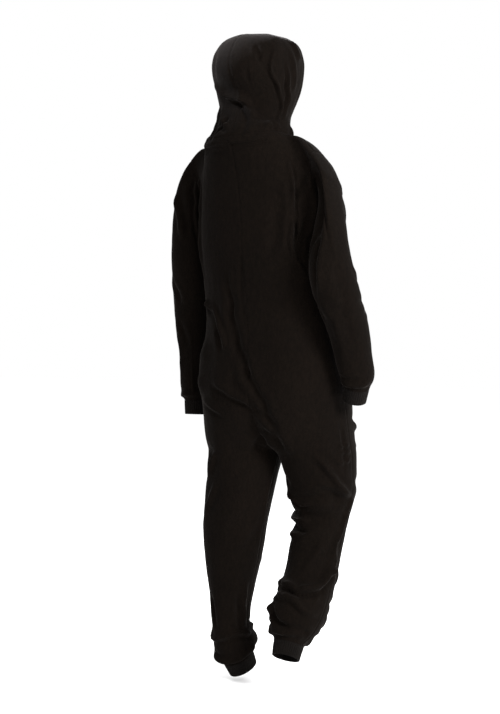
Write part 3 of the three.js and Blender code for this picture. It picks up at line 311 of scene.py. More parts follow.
# The folds that the cloth falls into. A path is in shares across and up its piece. A trough is pressed
# in, a ridge stands out, and a lap stands out on the left of its path and goes in on the right. held
# names the end that runs into a seam or another fold at full depth. Sizes are in millimetres.
FOLD_COLUMNS = ("kind", "width", "depth", "held", "path")
FOLDS = {
    "hood_left": [
        ("lap", 13, 12.5, "end", [(0.60, 0.41), (0.72, 0.37), (0.80, 0.335), (0.90, 0.30), (1, 0.275)]),
        ("lap", 8, 9.5, "", [(0.66, 0.28), (0.72, 0.22), (0.82, 0.14), (0.97, 0.05)]),
        ("ridge", 8, 8, "end", [(0.55, 0.31), (0.52, 0.16), (0.50, 0.03)]),
        ("trough", 9, 8, "end", [(0.44, 0.26), (0.42, 0.13), (0.40, 0.02)]),
        ("lap", 9, 5.5, "", [(0.52, 0.72), (0.50, 0.52), (0.44, 0.36), (0.46, 0.24)]),
        ("ridge", 10, 6, "", [(0.36, 0.78), (0.32, 0.55), (0.34, 0.34), (0.30, 0.16)]),
        ("trough", 10, 4.5, "", [(0.22, 0.60), (0.20, 0.42), (0.24, 0.25)]),
        ("trough", 14, 4.5, "", [(0.80, 0.64), (0.72, 0.55), (0.68, 0.44)]),
        ("trough", 7, 6, "end", [(0.90, 0.20), (0.84, 0.12), (0.80, 0.03)]),
        ("ridge", 7, 6, "end", [(0.70, 0.16), (0.68, 0.08), (0.68, 0.01)]),
    ],
    "hood_right": [
        ("lap", 12, 10, "start", [(1, 0.275), (0.95, 0.235), (0.905, 0.195), (0.84, 0.13)]),
        ("lap", 6, 8, "",
         [(0.61, 0.66), (0.63, 0.50), (0.594, 0.41), (0.53, 0.307),
          (0.50, 0.245), (0.56, 0.17), (0.60, 0.10)]),
        ("lap", 7, 8, "", [(0.47, 0.56), (0.45, 0.41), (0.41, 0.318), (0.42, 0.234), (0.53, 0.14)]),
        ("ridge", 8, 4.5, "", [(0.39, 0.64), (0.38, 0.526), (0.344, 0.443), (0.326, 0.36)]),
        ("ridge", 8, 9, "", [(0.37, 0.74), (0.33, 0.65), (0.29, 0.56)]),
        ("trough", 6, 5.5, "", [(0.76, 0.68), (0.735, 0.60), (0.70, 0.51)]),
        ("trough", 7, 3.5, "", [(0.67, 0.57), (0.68, 0.51), (0.71, 0.45)]),
        ("trough", 6, 3.5, "", [(0.83, 0.52), (0.84, 0.46), (0.835, 0.40)]),
        ("trough", 7, 6.5, "", [(0.66, 0.13), (0.63, 0.09), (0.66, 0.03)]),
        ("ridge", 9, 5.5, "", [(0.80, 0.13), (0.68, 0.10), (0.56, 0.10)]),
        ("trough", 9, 3.5, "", [(0.20, 0.66), (0.16, 0.45), (0.18, 0.28)]),
        ("trough", 8, 4.5, "", [(0.92, 0.15), (0.90, 0.08), (0.93, 0.02)]),
        ("ridge", 8, 5.5, "end", [(0.36, 0.15), (0.32, 0.07), (0.32, 0.01)]),
        ("trough", 8, 5.5, "end", [(0.27, 0.16), (0.24, 0.08), (0.25, 0.01)]),
    ],
    "back_right": [
        ("ridge", 15, 15, "", [(0.16, 0.92), (0.17, 0.87), (0.18, 0.81), (0.22, 0.76)]),
        ("lap", 8, 5.5, "start", [(1, 0.980), (0.915, 0.978), (0.70, 0.975), (0.50, 0.981)]),
        ("trough", 4.5, 6.5, "", [(0.47, 0.86), (0.485, 0.825), (0.47, 0.79), (0.45, 0.765)]),
        ("lap", 7, 10, "",
         [(0.34, 0.73), (0.45, 0.76), (0.51, 0.785), (0.475, 0.83),
          (0.455, 0.86), (0.43, 0.905), (0.41, 0.94)]),
        ("trough", 7, 6, "start", [(0.45, 0.857), (0.37, 0.871), (0.22, 0.888)]),
        ("ridge", 9, 4.5, "", [(0.56, 0.895), (0.58, 0.83), (0.64, 0.765)]),
        ("trough", 12, 4, "", [(0.68, 0.86), (0.70, 0.81), (0.76, 0.76)]),
        ("trough", 7, 7.5, "end", [(0.26, 0.832), (0.37, 0.806), (0.45, 0.782)]),
        ("ridge", 8, 6, "", [(0.12, 0.86), (0.22, 0.83), (0.34, 0.79)]),
        ("lap", 9, 8, "start", [(0.06, 0.80), (0.17, 0.785), (0.30, 0.755)]),
        ("trough", 10, 6, "start", [(0.04, 0.76), (0.2, 0.745), (0.34, 0.72)]),
        ("trough", 11, 9, "start", [(1, 0.59), (0.93, 0.562), (0.80, 0.527), (0.70, 0.46)]),
        ("trough", 8, 8, "start", [(0.99, 0.545), (0.88, 0.532), (0.78, 0.512)]),
        ("trough", 14, 9, "", [(0.90, 0.515), (0.78, 0.485), (0.71, 0.435)]),
        ("trough", 6, 4.5, "", [(0.10, 0.52), (0.115, 0.45), (0.13, 0.385)]),
        ("ridge", 5, 4.5, "", [(0.02, 0.475), (0.10, 0.467), (0.19, 0.47)]),
        ("ridge", 5, 4.5, "", [(0.01, 0.449), (0.09, 0.441), (0.17, 0.442)]),
        ("ridge", 5.5, 5.5, "", [(0.02, 0.420), (0.12, 0.411), (0.21, 0.417)]),
        ("ridge", 8, 12, "",
         [(0.40, 0.445), (0.30, 0.405), (0.21, 0.374), (0.12, 0.352), (0.02, 0.331)]),
        ("trough", 8, 10, "", [(0.41, 0.362), (0.27, 0.353), (0.11, 0.328)]),
        ("lap", 8, 10, "", [(0.86, 0.345), (0.73, 0.334), (0.58, 0.322), (0.42, 0.328)]),
        ("ridge", 8, 14, "start", [(0.97, 0.290), (0.80, 0.284), (0.64, 0.276), (0.46, 0.280)]),
        ("trough", 7, 10, "", [(0.92, 0.271), (0.74, 0.262), (0.56, 0.251), (0.42, 0.254)]),
        ("ridge", 7, 7.5, "", [(0.95, 0.246), (0.80, 0.243), (0.66, 0.236)]),
        ("trough", 13, 8, "",
         [(0.72, 0.324), (0.51, 0.338), (0.37, 0.344), (0.23, 0.338), (0.06, 0.316)]),
        ("trough", 14, 5, "", [(0.62, 0.300), (0.44, 0.293), (0.26, 0.287)]),
        ("ridge", 7, 6.5, "start",
         [(0.01, 0.325), (0.04, 0.278), (0.085, 0.228), (0.12, 0.177), (0.155, 0.135), (0.18, 0.10)]),
        ("ridge", 9, 5, "", [(0.28, 0.235), (0.31, 0.195), (0.37, 0.174), (0.47, 0.162)]),
        ("trough", 12, 4.5, "", [(0.52, 0.226), (0.40, 0.221), (0.27, 0.233)]),
        ("trough", 11, 4.5, "", [(0.88, 0.40), (0.76, 0.37), (0.66, 0.365)]),
        ("lap", 12, 15.5, "end",
         [(0.80, 0.142), (0.58, 0.127), (0.36, 0.119), (0.17, 0.138), (0.03, 0.172)]),
        ("lap", 10, 10, "",
         [(0.74, 0.124), (0.60, 0.110), (0.44, 0.101), (0.26, 0.092), (0.03, 0.090)]),
        ("ridge", 6, 5.5, "", [(0.60, 0.118), (0.46, 0.112), (0.33, 0.104)]),
        ("trough", 9, 12, "", [(0.72, 0.094), (0.56, 0.073), (0.34, 0.055)]),
        ("ridge", 9, 11, "start", [(0.98, 0.156), (0.86, 0.146), (0.72, 0.146)]),
        ("trough", 7, 9.5, "start", [(0.98, 0.132), (0.86, 0.125), (0.74, 0.122)]),
        ("ridge", 9, 11, "start", [(0.98, 0.108), (0.84, 0.098), (0.70, 0.100)]),
        ("trough", 7, 8, "start", [(0.98, 0.082), (0.84, 0.076), (0.70, 0.070)]),
        ("ridge", 8, 8, "", [(0.96, 0.060), (0.76, 0.052), (0.50, 0.046), (0.20, 0.058)]),
        ("ridge", 9, 8, "", [(0.02, 0.225), (0.05, 0.192), (0.09, 0.160), (0.17, 0.134)]),
        ("trough", 8, 6, "", [(0.05, 0.058), (0.22, 0.066), (0.38, 0.060)]),
    ],
    "back_left": [
        ("lap", 8, 5.5, "end", [(0.58, 0.978), (0.75, 0.980), (0.88, 0.981), (1, 0.980)]),
        ("ridge", 5, 3.5, "", [(0.52, 0.978), (0.70, 0.984), (0.94, 0.976)]),
        ("trough", 6, 4.5, "", [(0.50, 0.964), (0.76, 0.963), (0.97, 0.962)]),
        ("ridge", 7, 6, "", [(0.35, 0.93), (0.33, 0.86), (0.37, 0.79), (0.42, 0.73)]),
        ("trough", 8, 8, "", [(0.20, 0.90), (0.22, 0.84), (0.26, 0.79), (0.30, 0.74)]),
        ("lap", 9, 6, "start", [(0.05, 0.79), (0.16, 0.775), (0.30, 0.755)]),
        ("trough", 13, 9, "end", [(0.87, 0.745), (0.86, 0.68), (0.92, 0.632), (1, 0.592)]),
        ("ridge", 5, 4, "", [(0.915, 0.765), (0.89, 0.728), (0.89, 0.70), (0.895, 0.665)]),
        ("trough", 6, 3.5, "", [(0.985, 0.785), (0.98, 0.743), (0.97, 0.70), (0.96, 0.66)]),
        ("ridge", 7, 10, "", [(0.60, 0.702), (0.66, 0.682), (0.74, 0.652), (0.80, 0.622)]),
        ("trough", 7, 4.5, "", [(0.64, 0.664), (0.70, 0.642), (0.74, 0.618)]),
        ("lap", 9, 12.5, "", [(0.40, 0.704), (0.50, 0.690), (0.61, 0.684)]),
        ("ridge", 26, 9.5, "", [(0.42, 0.645), (0.36, 0.60), (0.36, 0.545)]),
        ("lap", 12, 10, "end", [(0.62, 0.572), (0.74, 0.565), (0.86, 0.554), (1, 0.540)]),
        ("trough", 6, 4.5, "", [(0.60, 0.556), (0.72, 0.551), (0.84, 0.539)]),
        ("lap", 10, 8, "", [(0.38, 0.548), (0.50, 0.538), (0.62, 0.532), (0.72, 0.527)]),
        ("trough", 12, 8, "start", [(0.99, 0.49), (0.90, 0.47), (0.84, 0.44)]),
        ("ridge", 8, 8, "", [(0.40, 0.436), (0.34, 0.412), (0.28, 0.380)]),
        ("ridge", 9, 8, "", [(0.41, 0.370), (0.35, 0.342), (0.27, 0.304)]),
        ("trough", 9, 6, "", [(0.30, 0.428), (0.24, 0.400), (0.18, 0.365)]),
        ("trough", 12, 4.5, "", [(0.80, 0.335), (0.68, 0.292), (0.55, 0.266)]),
        ("ridge", 12, 4, "", [(0.86, 0.30), (0.74, 0.262), (0.62, 0.24)]),
        ("ridge", 6, 4.5, "", [(0.97, 0.42), (0.965, 0.33), (0.955, 0.24)]),
        ("ridge", 7, 8, "", [(0.86, 0.19), (0.90, 0.145), (0.93, 0.10)]),
        ("trough", 7, 6, "", [(0.76, 0.17), (0.80, 0.13), (0.88, 0.095)]),
        ("trough", 8, 6, "", [(0.30, 0.165), (0.35, 0.135), (0.42, 0.105)]),
        ("lap", 8, 12, "end", [(0.08, 0.100), (0.29, 0.090), (0.62, 0.092), (0.97, 0.088)]),
        ("ridge", 9, 8, "end", [(0.04, 0.062), (0.30, 0.058), (0.60, 0.050), (0.97, 0.060)]),
        ("trough", 6, 4.5, "", [(0.22, 0.077), (0.44, 0.070), (0.60, 0.075)]),
        ("trough", 6, 6, "", [(0.08, 0.034), (0.48, 0.030), (0.94, 0.026)]),
    ],
    "front_right": [
        ("lap", 11, 10, "", [(0.70, 0.480), (0.42, 0.502), (0.12, 0.522)]),
        ("trough", 11, 5.5, "", [(0.78, 0.515), (0.50, 0.538), (0.22, 0.556)]),
        ("ridge", 11, 5.5, "", [(0.62, 0.44), (0.40, 0.455), (0.18, 0.47)]),
        ("trough", 12, 4, "", [(0.06, 0.372), (0.26, 0.352), (0.50, 0.352)]),
        ("trough", 9, 5.5, "", [(0.98, 0.35), (0.84, 0.345), (0.70, 0.352)]),
        ("ridge", 9, 5.5, "", [(0.98, 0.285), (0.80, 0.292), (0.62, 0.302)]),
        ("lap", 10, 8.5, "", [(0.04, 0.185), (0.28, 0.165), (0.60, 0.168), (0.92, 0.182)]),
        ("trough", 9, 7, "", [(0.05, 0.135), (0.34, 0.122), (0.72, 0.130)]),
        ("ridge", 9, 7, "", [(0.04, 0.105), (0.40, 0.098), (0.94, 0.112)]),
        ("trough", 8, 7, "", [(0.08, 0.076), (0.50, 0.072), (0.96, 0.080)]),
        ("ridge", 7, 4, "", [(0.10, 0.052), (0.52, 0.048), (0.90, 0.055)]),
        ("lap", 11, 7, "", [(0.16, 0.955), (0.26, 0.90), (0.42, 0.84), (0.60, 0.80)]),
        ("trough", 8, 7, "start", [(0.03, 0.86), (0.14, 0.84), (0.30, 0.80)]),
        ("ridge", 8, 5.5, "start", [(0.03, 0.82), (0.15, 0.80), (0.28, 0.765)]),
        ("trough", 12, 5.5, "", [(0.30, 0.73), (0.40, 0.68), (0.54, 0.65)]),
        ("lap", 11, 7, "", [(0.20, 0.655), (0.45, 0.625), (0.70, 0.615)]),
        ("trough", 10, 5.5, "", [(0.30, 0.60), (0.55, 0.582), (0.80, 0.585)]),
        ("trough", 9, 4, "", [(0.60, 0.895), (0.72, 0.880), (0.85, 0.886)]),
        ("ridge", 8, 4, "", [(0.66, 0.745), (0.76, 0.735), (0.86, 0.742)]),
    ],
    "front_left": [
        ("lap", 10, 8.5, "", [(0.10, 0.535), (0.40, 0.508), (0.72, 0.488)]),
        ("trough", 11, 5.5, "", [(0.20, 0.575), (0.48, 0.548), (0.76, 0.530)]),
        ("trough", 12, 5.5, "", [(0.30, 0.46), (0.55, 0.440), (0.80, 0.432)]),
        ("ridge", 12, 5.5, "", [(0.15, 0.40), (0.36, 0.365), (0.60, 0.35)]),
        ("trough", 12, 5, "", [(0.20, 0.31), (0.42, 0.285), (0.70, 0.29)]),
        ("ridge", 11, 4, "", [(0.45, 0.235), (0.62, 0.215), (0.84, 0.225)]),
        ("trough", 9, 5.5, "", [(0.10, 0.150), (0.40, 0.138), (0.80, 0.148)]),
        ("lap", 9, 8.5, "", [(0.05, 0.104), (0.40, 0.094), (0.94, 0.104)]),
        ("ridge", 9, 7, "", [(0.05, 0.066), (0.45, 0.060), (0.95, 0.066)]),
        ("trough", 6, 5.5, "", [(0.10, 0.036), (0.50, 0.030), (0.92, 0.034)]),
        ("lap", 11, 7, "", [(0.62, 0.79), (0.44, 0.83), (0.28, 0.90), (0.18, 0.95)]),
        ("trough", 8, 7, "start", [(0.03, 0.87), (0.15, 0.85), (0.33, 0.81)]),
        ("ridge", 8, 5.5, "start", [(0.03, 0.83), (0.14, 0.81), (0.30, 0.77)]),
        ("trough", 12, 5.5, "", [(0.22, 0.74), (0.36, 0.70), (0.52, 0.66)]),
        ("lap", 10, 7, "", [(0.18, 0.645), (0.42, 0.615), (0.68, 0.60)]),
        ("trough", 8, 4, "", [(0.62, 0.85), (0.74, 0.842), (0.86, 0.85)]),
        ("ridge", 9, 4, "", [(0.64, 0.705), (0.75, 0.698), (0.87, 0.704)]),
    ],
    "sleeve_right": [
        ("trough", 18, 16, "", [(0.37, 0.02), (0.35, 0.12), (0.35, 0.22), (0.32, 0.33)]),
        ("trough", 8, 7, "", [(0.29, 0.24), (0.26, 0.28), (0.20, 0.335)]),
        ("lap", 9, 5.5, "", [(0.42, 0.25), (0.35, 0.34), (0.31, 0.43), (0.27, 0.48)]),
        ("ridge", 11, 4, "", [(0.33, 0.46), (0.36, 0.60), (0.35, 0.76)]),
        ("trough", 13, 4, "", [(0.46, 0.34), (0.48, 0.50), (0.44, 0.68)]),
        ("trough", 9, 5.5, "", [(0.10, 0.45), (0.20, 0.50), (0.26, 0.58)]),
        ("trough", 9, 5.5, "", [(0.02, 0.38), (0.12, 0.33), (0.20, 0.26)]),
        ("ridge", 8, 5.5, "", [(0.14, 0.875), (0.38, 0.885), (0.62, 0.872)]),
        ("trough", 7, 4, "", [(0.22, 0.835), (0.36, 0.842), (0.48, 0.832)]),
        ("lap", 9, 2.5, "", [(0.62, 0.40), (0.72, 0.46), (0.82, 0.48)]),
        ("trough", 8, 2.5, "", [(0.60, 0.52), (0.72, 0.54), (0.84, 0.53)]),
        ("ridge", 9, 2, "", [(0.64, 0.60), (0.76, 0.60), (0.88, 0.575)]),
        ("lap", 9, 7, "", [(0.70, 0.12), (0.75, 0.22), (0.84, 0.30)]),
        ("trough", 8, 5.5, "", [(0.82, 0.08), (0.87, 0.17), (0.95, 0.24)]),
        ("trough", 9, 4, "", [(0.70, 0.78), (0.84, 0.80), (0.98, 0.79)]),
    ],
    "sleeve_left": [
        ("lap", 7, 8.5, "start", [(0.30, 0.03), (0.27, 0.06), (0.19, 0.125), (0.13, 0.22)]),
        ("ridge", 8, 6.5, "", [(0.46, 0.150), (0.34, 0.195), (0.25, 0.250)]),
        ("ridge", 6, 4, "", [(0.37, 0.070), (0.31, 0.100), (0.26, 0.130)]),
        ("trough", 7, 4, "", [(0.41, 0.125), (0.31, 0.160), (0.21, 0.210)]),
        ("trough", 9, 5.5, "", [(0.42, 0.38), (0.32, 0.45), (0.26, 0.52)]),
        ("trough", 8, 5, "", [(0.30, 0.555), (0.27, 0.61), (0.24, 0.675)]),
        ("ridge", 10, 4, "", [(0.36, 0.60), (0.33, 0.70), (0.36, 0.80)]),
        ("ridge", 8, 5.5, "", [(0.12, 0.880), (0.34, 0.890), (0.60, 0.880)]),
        ("lap", 9, 7, "", [(0.60, 0.42), (0.70, 0.47), (0.80, 0.49)]),
        ("trough", 8, 7, "", [(0.58, 0.53), (0.70, 0.555), (0.82, 0.54)]),
        ("lap", 9, 7, "", [(0.72, 0.10), (0.76, 0.20), (0.85, 0.28)]),
        ("trough", 9, 4, "", [(0.68, 0.74), (0.82, 0.77), (0.96, 0.76)]),
    ],
}
FOLD_STEP = 0.004
FOLD_REACH = 3.2  # how far from its path a fold still moves the cloth, in widths
FOLD_END = 0.3  # the share of its length in which a free end fades away
WANDER = 0.8  # how far it strays from its path, in widths
WANDER_FINENESS = 26
SWELL = 0.45  # how much it deepens and flattens along its path
SWELL_FINENESS = 34


def tree_of(spots):
    """A search tree that finds the nearest of some places."""
    tree = kdtree.KDTree(len(spots))
    for index, spot in enumerate(spots):
        tree.insert(spot, index)
    tree.balance()
    return tree


def soft_noise(places):
    """Smooth noise, about -1 to 1, at each of some places."""
    return np.array([noise.noise(place) for place in places])


def hump(t, at=0.0, narrow=1.0):
    """A bell 1 high about one place, narrower as narrow grows."""
    return np.exp(-narrow * (t - at) ** 2)


mesh = fleece.data
points, normals = read_vectors(mesh, "co"), read_vectors(mesh, "normal")
point_tree = tree_of(points)


def fold_lift(fold, name, seed):
    """The vertices that one fold moves, and how far it moves each along its normal."""
    width, depth = fold["width"] / 1000, fold["depth"] / 1000
    places, ways = smooth_line([on_cut(name, *spot) for spot in fold["path"]], FOLD_STEP)
    outward = np.array([normals[point_tree.find(place)[1]] for place in places])
    reach = FOLD_REACH * width
    inside = (points > places.min(0) - reach) & (points < places.max(0) + reach)
    near = np.where(inside.all(axis=1))[0]
    nearest = np.argmin(((points[near][:, None] - places[None]) ** 2).sum(axis=2), axis=1)
    gap = points[near] - places[nearest]
    normal = normals[near]
    same_side = (normal * outward[nearest]).sum(axis=1)
    gap -= normal * (gap * normal).sum(axis=1)[:, None]
    left = np.cross(outward[nearest], ways[nearest])
    side = (gap * left).sum(axis=1)
    past = (gap * ways[nearest]).sum(axis=1)
    last = len(places) - 1
    run = FOLD_STEP * np.arange(last + 1)
    stray = soft_noise([(along * WANDER_FINENESS, seed * 3.7, 0.5) for along in run])
    swell = soft_noise([(along * SWELL_FINENESS, seed * 5.3, 9.1) for along in run])
    t = side / width + stray[nearest] * WANDER
    # Across its path, a lap has a crest and a tuck, and the others a soft rim on each side.
    if fold["kind"] == "lap":
        form = hump(t, 0.65, 1.5) - 0.9 * hump(t, -0.5, 2.8)
    elif fold["kind"] == "ridge":
        form = hump(t) - 0.22 * hump(np.abs(t), 1.9)
    else:
        form = 0.28 * hump(np.abs(t), 1.9) - hump(t)
    share = nearest / last
    fade = hump(past / width) * soft_step(same_side, 0.1, 0.5)
    if fold["held"] != "start":
        fade *= soft_step(share, -0.03, FOLD_END)
    if fold["held"] != "end":
        fade *= soft_step(1 - share, -0.03, FOLD_END)
    return near, depth * form * fade * (1 + SWELL * swell[nearest])


lift = np.zeros(len(points))
seed = 0
for name, rows in FOLDS.items():
    for row in rows:
        seed += 1
        near, amount = fold_lift(dict(zip(FOLD_COLUMNS, row)), name, seed)
        lift[near] += amount

# Thick fleece takes no sharp crease: every fold is rounded off a little.
ROUNDING = 2  # times each point is drawn half way to its neighbours
ends = np.empty(len(mesh.edges) * 2, int)
mesh.edges.foreach_get("vertices", ends)
first, second = ends.reshape(-1, 2).T
count = len(points)
meeting = np.bincount(first, minlength=count) + np.bincount(second, minlength=count)
for _ in range(ROUNDING):
    around = np.bincount(first, lift[second], count) + np.bincount(second, lift[first], count)
    lift = (lift + around / meeting) / 2

# Between the folds the cloth still rolls a little, in long soft waves with small ones on them.
ROLL = [
    {"height": 0.0030, "across": 8.0, "down": 3.2, "seed": 3.1},
    {"height": 0.0013, "across": 21.0, "down": 11.0, "seed": 8.4},
    {"height": 0.0005, "across": 60.0, "down": 42.0, "seed": 5.9},
]
for wave in ROLL:
    scale = np.array([wave["across"], wave["across"], wave["down"]])
    lift += wave["height"] * soft_noise(points * scale + wave["seed"])

# The sewn edges, and the open ones at the face, the zip and the cuffs, as closely spaced points.
ZIP_EDGE = {"lowest": -0.63, "half_width": 0.1}  # an open edge in here is the zip's
EDGE_SHARES = (0.125, 0.375, 0.625, 0.875)
EDGE_SEARCH = 0.06
work = bmesh.new()
work.from_mesh(mesh)
cut_layer = work.faces.layers.int["cut"]
edge_points = {"seam": [], "face": [], "zip": [], "cuff": []}
cut_names = list(CUTS)
for edge in work.edges:
    sides = {face[cut_layer] for face in edge.link_faces}
    middle = (edge.verts[0].co + edge.verts[1].co) / 2
    if len(sides) == 2:
        kind = "seam"
    elif len(edge.link_faces) == 2:
        continue
    elif cut_names[next(iter(sides))].startswith("hood"):
        kind = "face"
    elif middle.z > ZIP_EDGE["lowest"] and abs(middle.x) < ZIP_EDGE["half_width"]:
        kind = "zip"
    else:
        kind = "cuff"
    for share in EDGE_SHARES:
        edge_points[kind].append(edge.verts[0].co.lerp(edge.verts[1].co, share))
work.free()

away, anchor = {}, {}
for kind, spots in edge_points.items():
    tree = tree_of(spots)
    box = np.array(spots)
    inside = (points > box.min(0) - EDGE_SEARCH) & (points < box.max(0) + EDGE_SEARCH)
    away[kind] = np.full(len(points), EDGE_SEARCH)
    anchor[kind] = points.copy()
    for index in np.where(inside.all(axis=1))[0]:
        place, _, distance = tree.find(points[index])
        if distance < EDGE_SEARCH:
            away[kind][index] = distance
            anchor[kind][index] = place

# The cloth lies flat beside the zip, and is held in at the cuffs, where it gathers into small pleats.
HELD_FLAT = {"zip": (0.012, 0.034), "cuff": (0.001, 0.016)}  # flat up to here, and free from here on
for kind, (flat, free) in HELD_FLAT.items():
    lift *= soft_step(away[kind], flat, free)
GATHER = {"height": 0.0026, "fineness": 95.0, "reach": 0.013}
pleat = soft_noise(anchor["cuff"] * GATHER["fineness"]) * soft_step(away["cuff"], 0.001, 0.006)
lift += GATHER["height"] * pleat * np.exp(-away["cuff"] / GATHER["reach"])

# A seam draws the cloth down into a groove and puckers it on both sides.
SEAM = {"groove": 0.0008, "groove_width": 0.0022, "lip": 0.0004, "lip_at": 0.0060, "pucker": 0.0011,
        "fineness": 70.0, "pucker_reach": 0.010}
from_seam = away["seam"]
pucker = soft_noise(anchor["seam"] * SEAM["fineness"] + 4.4)
lift -= SEAM["groove"] * hump(from_seam / SEAM["groove_width"])
lift += SEAM["lip"] * hump((from_seam - SEAM["lip_at"]) / SEAM["groove_width"])
lift += SEAM["pucker"] * pucker * np.exp(-from_seam / SEAM["pucker_reach"])

# The hood's face edge and the front edges are turned in. The face hem is double and is stitched down.
HEM = {"width": 0.020, "rise": 0.0009, "stitch_at": 0.018, "stitch_dip": 0.0007, "stitch_width": 0.003,
       "roll": 0.0013, "roll_width": 0.002}
lift += HEM["rise"] * soft_step(HEM["width"] - away["face"], -0.002, 0.003)
lift -= HEM["stitch_dip"] * hump((away["face"] - HEM["stitch_at"]) / HEM["stitch_width"])
for edge in ("face", "zip"):
    lift -= HEM["roll"] * hump(away[edge] / HEM["roll_width"])

points += normals * lift[:, None]
mesh.vertices.foreach_set("co", points.ravel())
mesh.update()
# How far each point lies from a seam, read by the fleece's colour for its painted seam shade.
seam_shade_from = np.minimum(from_seam, away["face"] + HEM["width"])
mesh.attributes.new("seam", "FLOAT", "POINT").data.foreach_set("value", seam_shade_from)
surface = bvhtree.BVHTree.FromPolygons(points.tolist(), [tuple(f.vertices) for f in mesh.polygons])

# Fleece: dull near-black pile with a warm ground and a faint pale bloom where it is seen edge on. The
# pile lies in soft clumps. Painted shade darkens its colour within 2 mm of a seam, along the seam's
# groove.
FLEECE_COLOUR = (0.0020, 0.0013, 0.0009)
FLEECE_BLOOM = (0.94, 0.82, 0.76, 1.0)


def new_material(name, roughness, specular):
    material = bpy.data.materials.new(name)
    material.use_nodes = True
    shader = material.node_tree.nodes["Principled BSDF"]
    shader.inputs["Roughness"].default_value = roughness
    shader.inputs["Specular IOR Level"].default_value = specular
    return material, material.node_tree, shader


def noise_node(tree, source, scale, detail):
    node = tree.nodes.new("ShaderNodeTexNoise")
    node.inputs["Scale"].default_value = scale
    node.inputs["Detail"].default_value = detail
    tree.links.new(source, node.inputs["Vector"])
    return node.outputs["Fac"]


def ramp_node(tree, source, stops):
    node = tree.nodes.new("ShaderNodeValToRGB")
    for element, (place, colour) in zip(node.color_ramp.elements, stops):
        element.position = place
        element.color = list(colour) + [1.0]
    tree.links.new(source, node.inputs["Fac"])
    return node.outputs["Color"]


def multiply_node(tree, first, second):
    node = tree.nodes.new("ShaderNodeMix")
    node.data_type = "RGBA"
    node.blend_type = "MULTIPLY"
    node.inputs["Factor"].default_value = 1.0
    tree.links.new(first, node.inputs[6])
    tree.links.new(second, node.inputs[7])
    return node.outputs[2]


def bump_node(tree, source, distance, strength, under=None):
    node = tree.nodes.new("ShaderNodeBump")
    node.inputs["Strength"].default_value = strength
    node.inputs["Distance"].default_value = distance
    tree.links.new(source, node.inputs["Height"])
    if under is not None:
        tree.links.new(under, node.inputs["Normal"])
    return node.outputs["Normal"]


def shades(colour, low, high):
    return [[c * low for c in colour], [c * high for c in colour]]


def fleece_material():
    material, tree, shader = new_material("black_fleece", roughness=0.95, specular=0.03)
    shader.inputs["Sheen Weight"].default_value = 0.017
    shader.inputs["Sheen Roughness"].default_value = 0.36
    shader.inputs["Sheen Tint"].default_value = FLEECE_BLOOM
    place = tree.nodes.new("ShaderNodeTexCoord").outputs["Object"]
    brushed = tree.nodes.new("ShaderNodeMapping")
    brushed.inputs["Scale"].default_value = (1.0, 1.0, 0.45)
    tree.links.new(place, brushed.inputs["Vector"])
    dark, light = shades(FLEECE_COLOUR, 0.90, 1.12)
    pile = brushed.outputs["Vector"]
    broad = ramp_node(tree, noise_node(tree, place, scale=9.0, detail=5.0), [(0.32, dark), (0.70, light)])
    clumps = ramp_node(tree, noise_node(tree, pile, scale=150.0, detail=5.0),
                       [(0.30, (0.78, 0.78, 0.78)), (0.68, (1.18, 1.17, 1.16))])
    # Painted shade: the colour is darkened to 0.85 at a seam, fading out 2 mm from it.
    near_seam = tree.nodes.new("ShaderNodeAttribute")
    near_seam.attribute_name = "seam"
    seam_shade = tree.nodes.new("ShaderNodeMapRange")
    seam_shade.inputs["From Max"].default_value = 0.0020
    seam_shade.inputs["To Min"].default_value = 0.85
    tree.links.new(near_seam.outputs["Fac"], seam_shade.inputs["Value"])
    colour = multiply_node(tree, multiply_node(tree, broad, clumps), seam_shade.outputs["Result"])
    tree.links.new(colour, shader.inputs["Base Color"])
    tufts = bump_node(tree, noise_node(tree, pile, scale=240.0, detail=4.0), distance=0.0016,
                      strength=0.55)
    fibres = bump_node(tree, noise_node(tree, place, scale=900.0, detail=3.0), distance=0.0005,
                       strength=0.6, under=tufts)
    tree.links.new(fibres, shader.inputs["Normal"])
    return material


black_fleece = fleece_material()
for number, name in enumerate(CUTS):  # the whole is cut apart again along its seams
    part = fleece.copy()
    part.data = fleece.data.copy()
    part.name = part.data.name = name + "_fleece"
    bpy.context.collection.objects.link(part)
    work = bmesh.new()
    work.from_mesh(part.data)
    layer = work.faces.layers.int["cut"]
    bmesh.ops.delete(work, geom=[f for f in work.faces if f[layer] != number], context="FACES")
    work.to_mesh(part.data)
    work.free()
    part.data.materials.clear()
    part.data.materials.append(black_fleece)
    pick(part)
    apply_modifier(part, "SOLIDIFY", thickness=FLEECE_THICK, offset=-1.0)
    bpy.ops.object.shade_smooth_by_angle(angle=math.radians(60))
    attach(part, "onesie")
    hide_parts(name)
bpy.data.objects.remove(fleece)

# The cuffs: doubled rib knit tubes, folded at the free edge and sewn on stretched, so that the fleece
# blouses over them. Each has the place, length and number of ribs of its own solid.
CUFF_WALL = 0.0026
RIB_STEPS = 8
RIB_ROWS = 16
INNER_ROWS = 5
FOLD_TURNS = (45, 90, 135, 180)  # degrees round the fold at the free edge
RIB_HEIGHT = 0.0009
RIB_ROUND = 0.7  # under 1 makes a rib rounder than a plain wave
RIB_INSIDE = 0.3  # a rib's height on the inside, as a share
STITCH_ROW = 0.0016
BUCKLE = {"height": 0.0011, "fineness": 2.2}
RIB_COLOUR = (0.0019, 0.0014, 0.0011)
CUFF_CUTS = {"wrist": (0.22, 0.040), "ankle": (0.27, 0.038)}  # widest and longest, flat
CUFFS = [(limb + "_cuff_" + side, flat) for limb, flat in CUFF_CUTS.items() for side in SIDES]


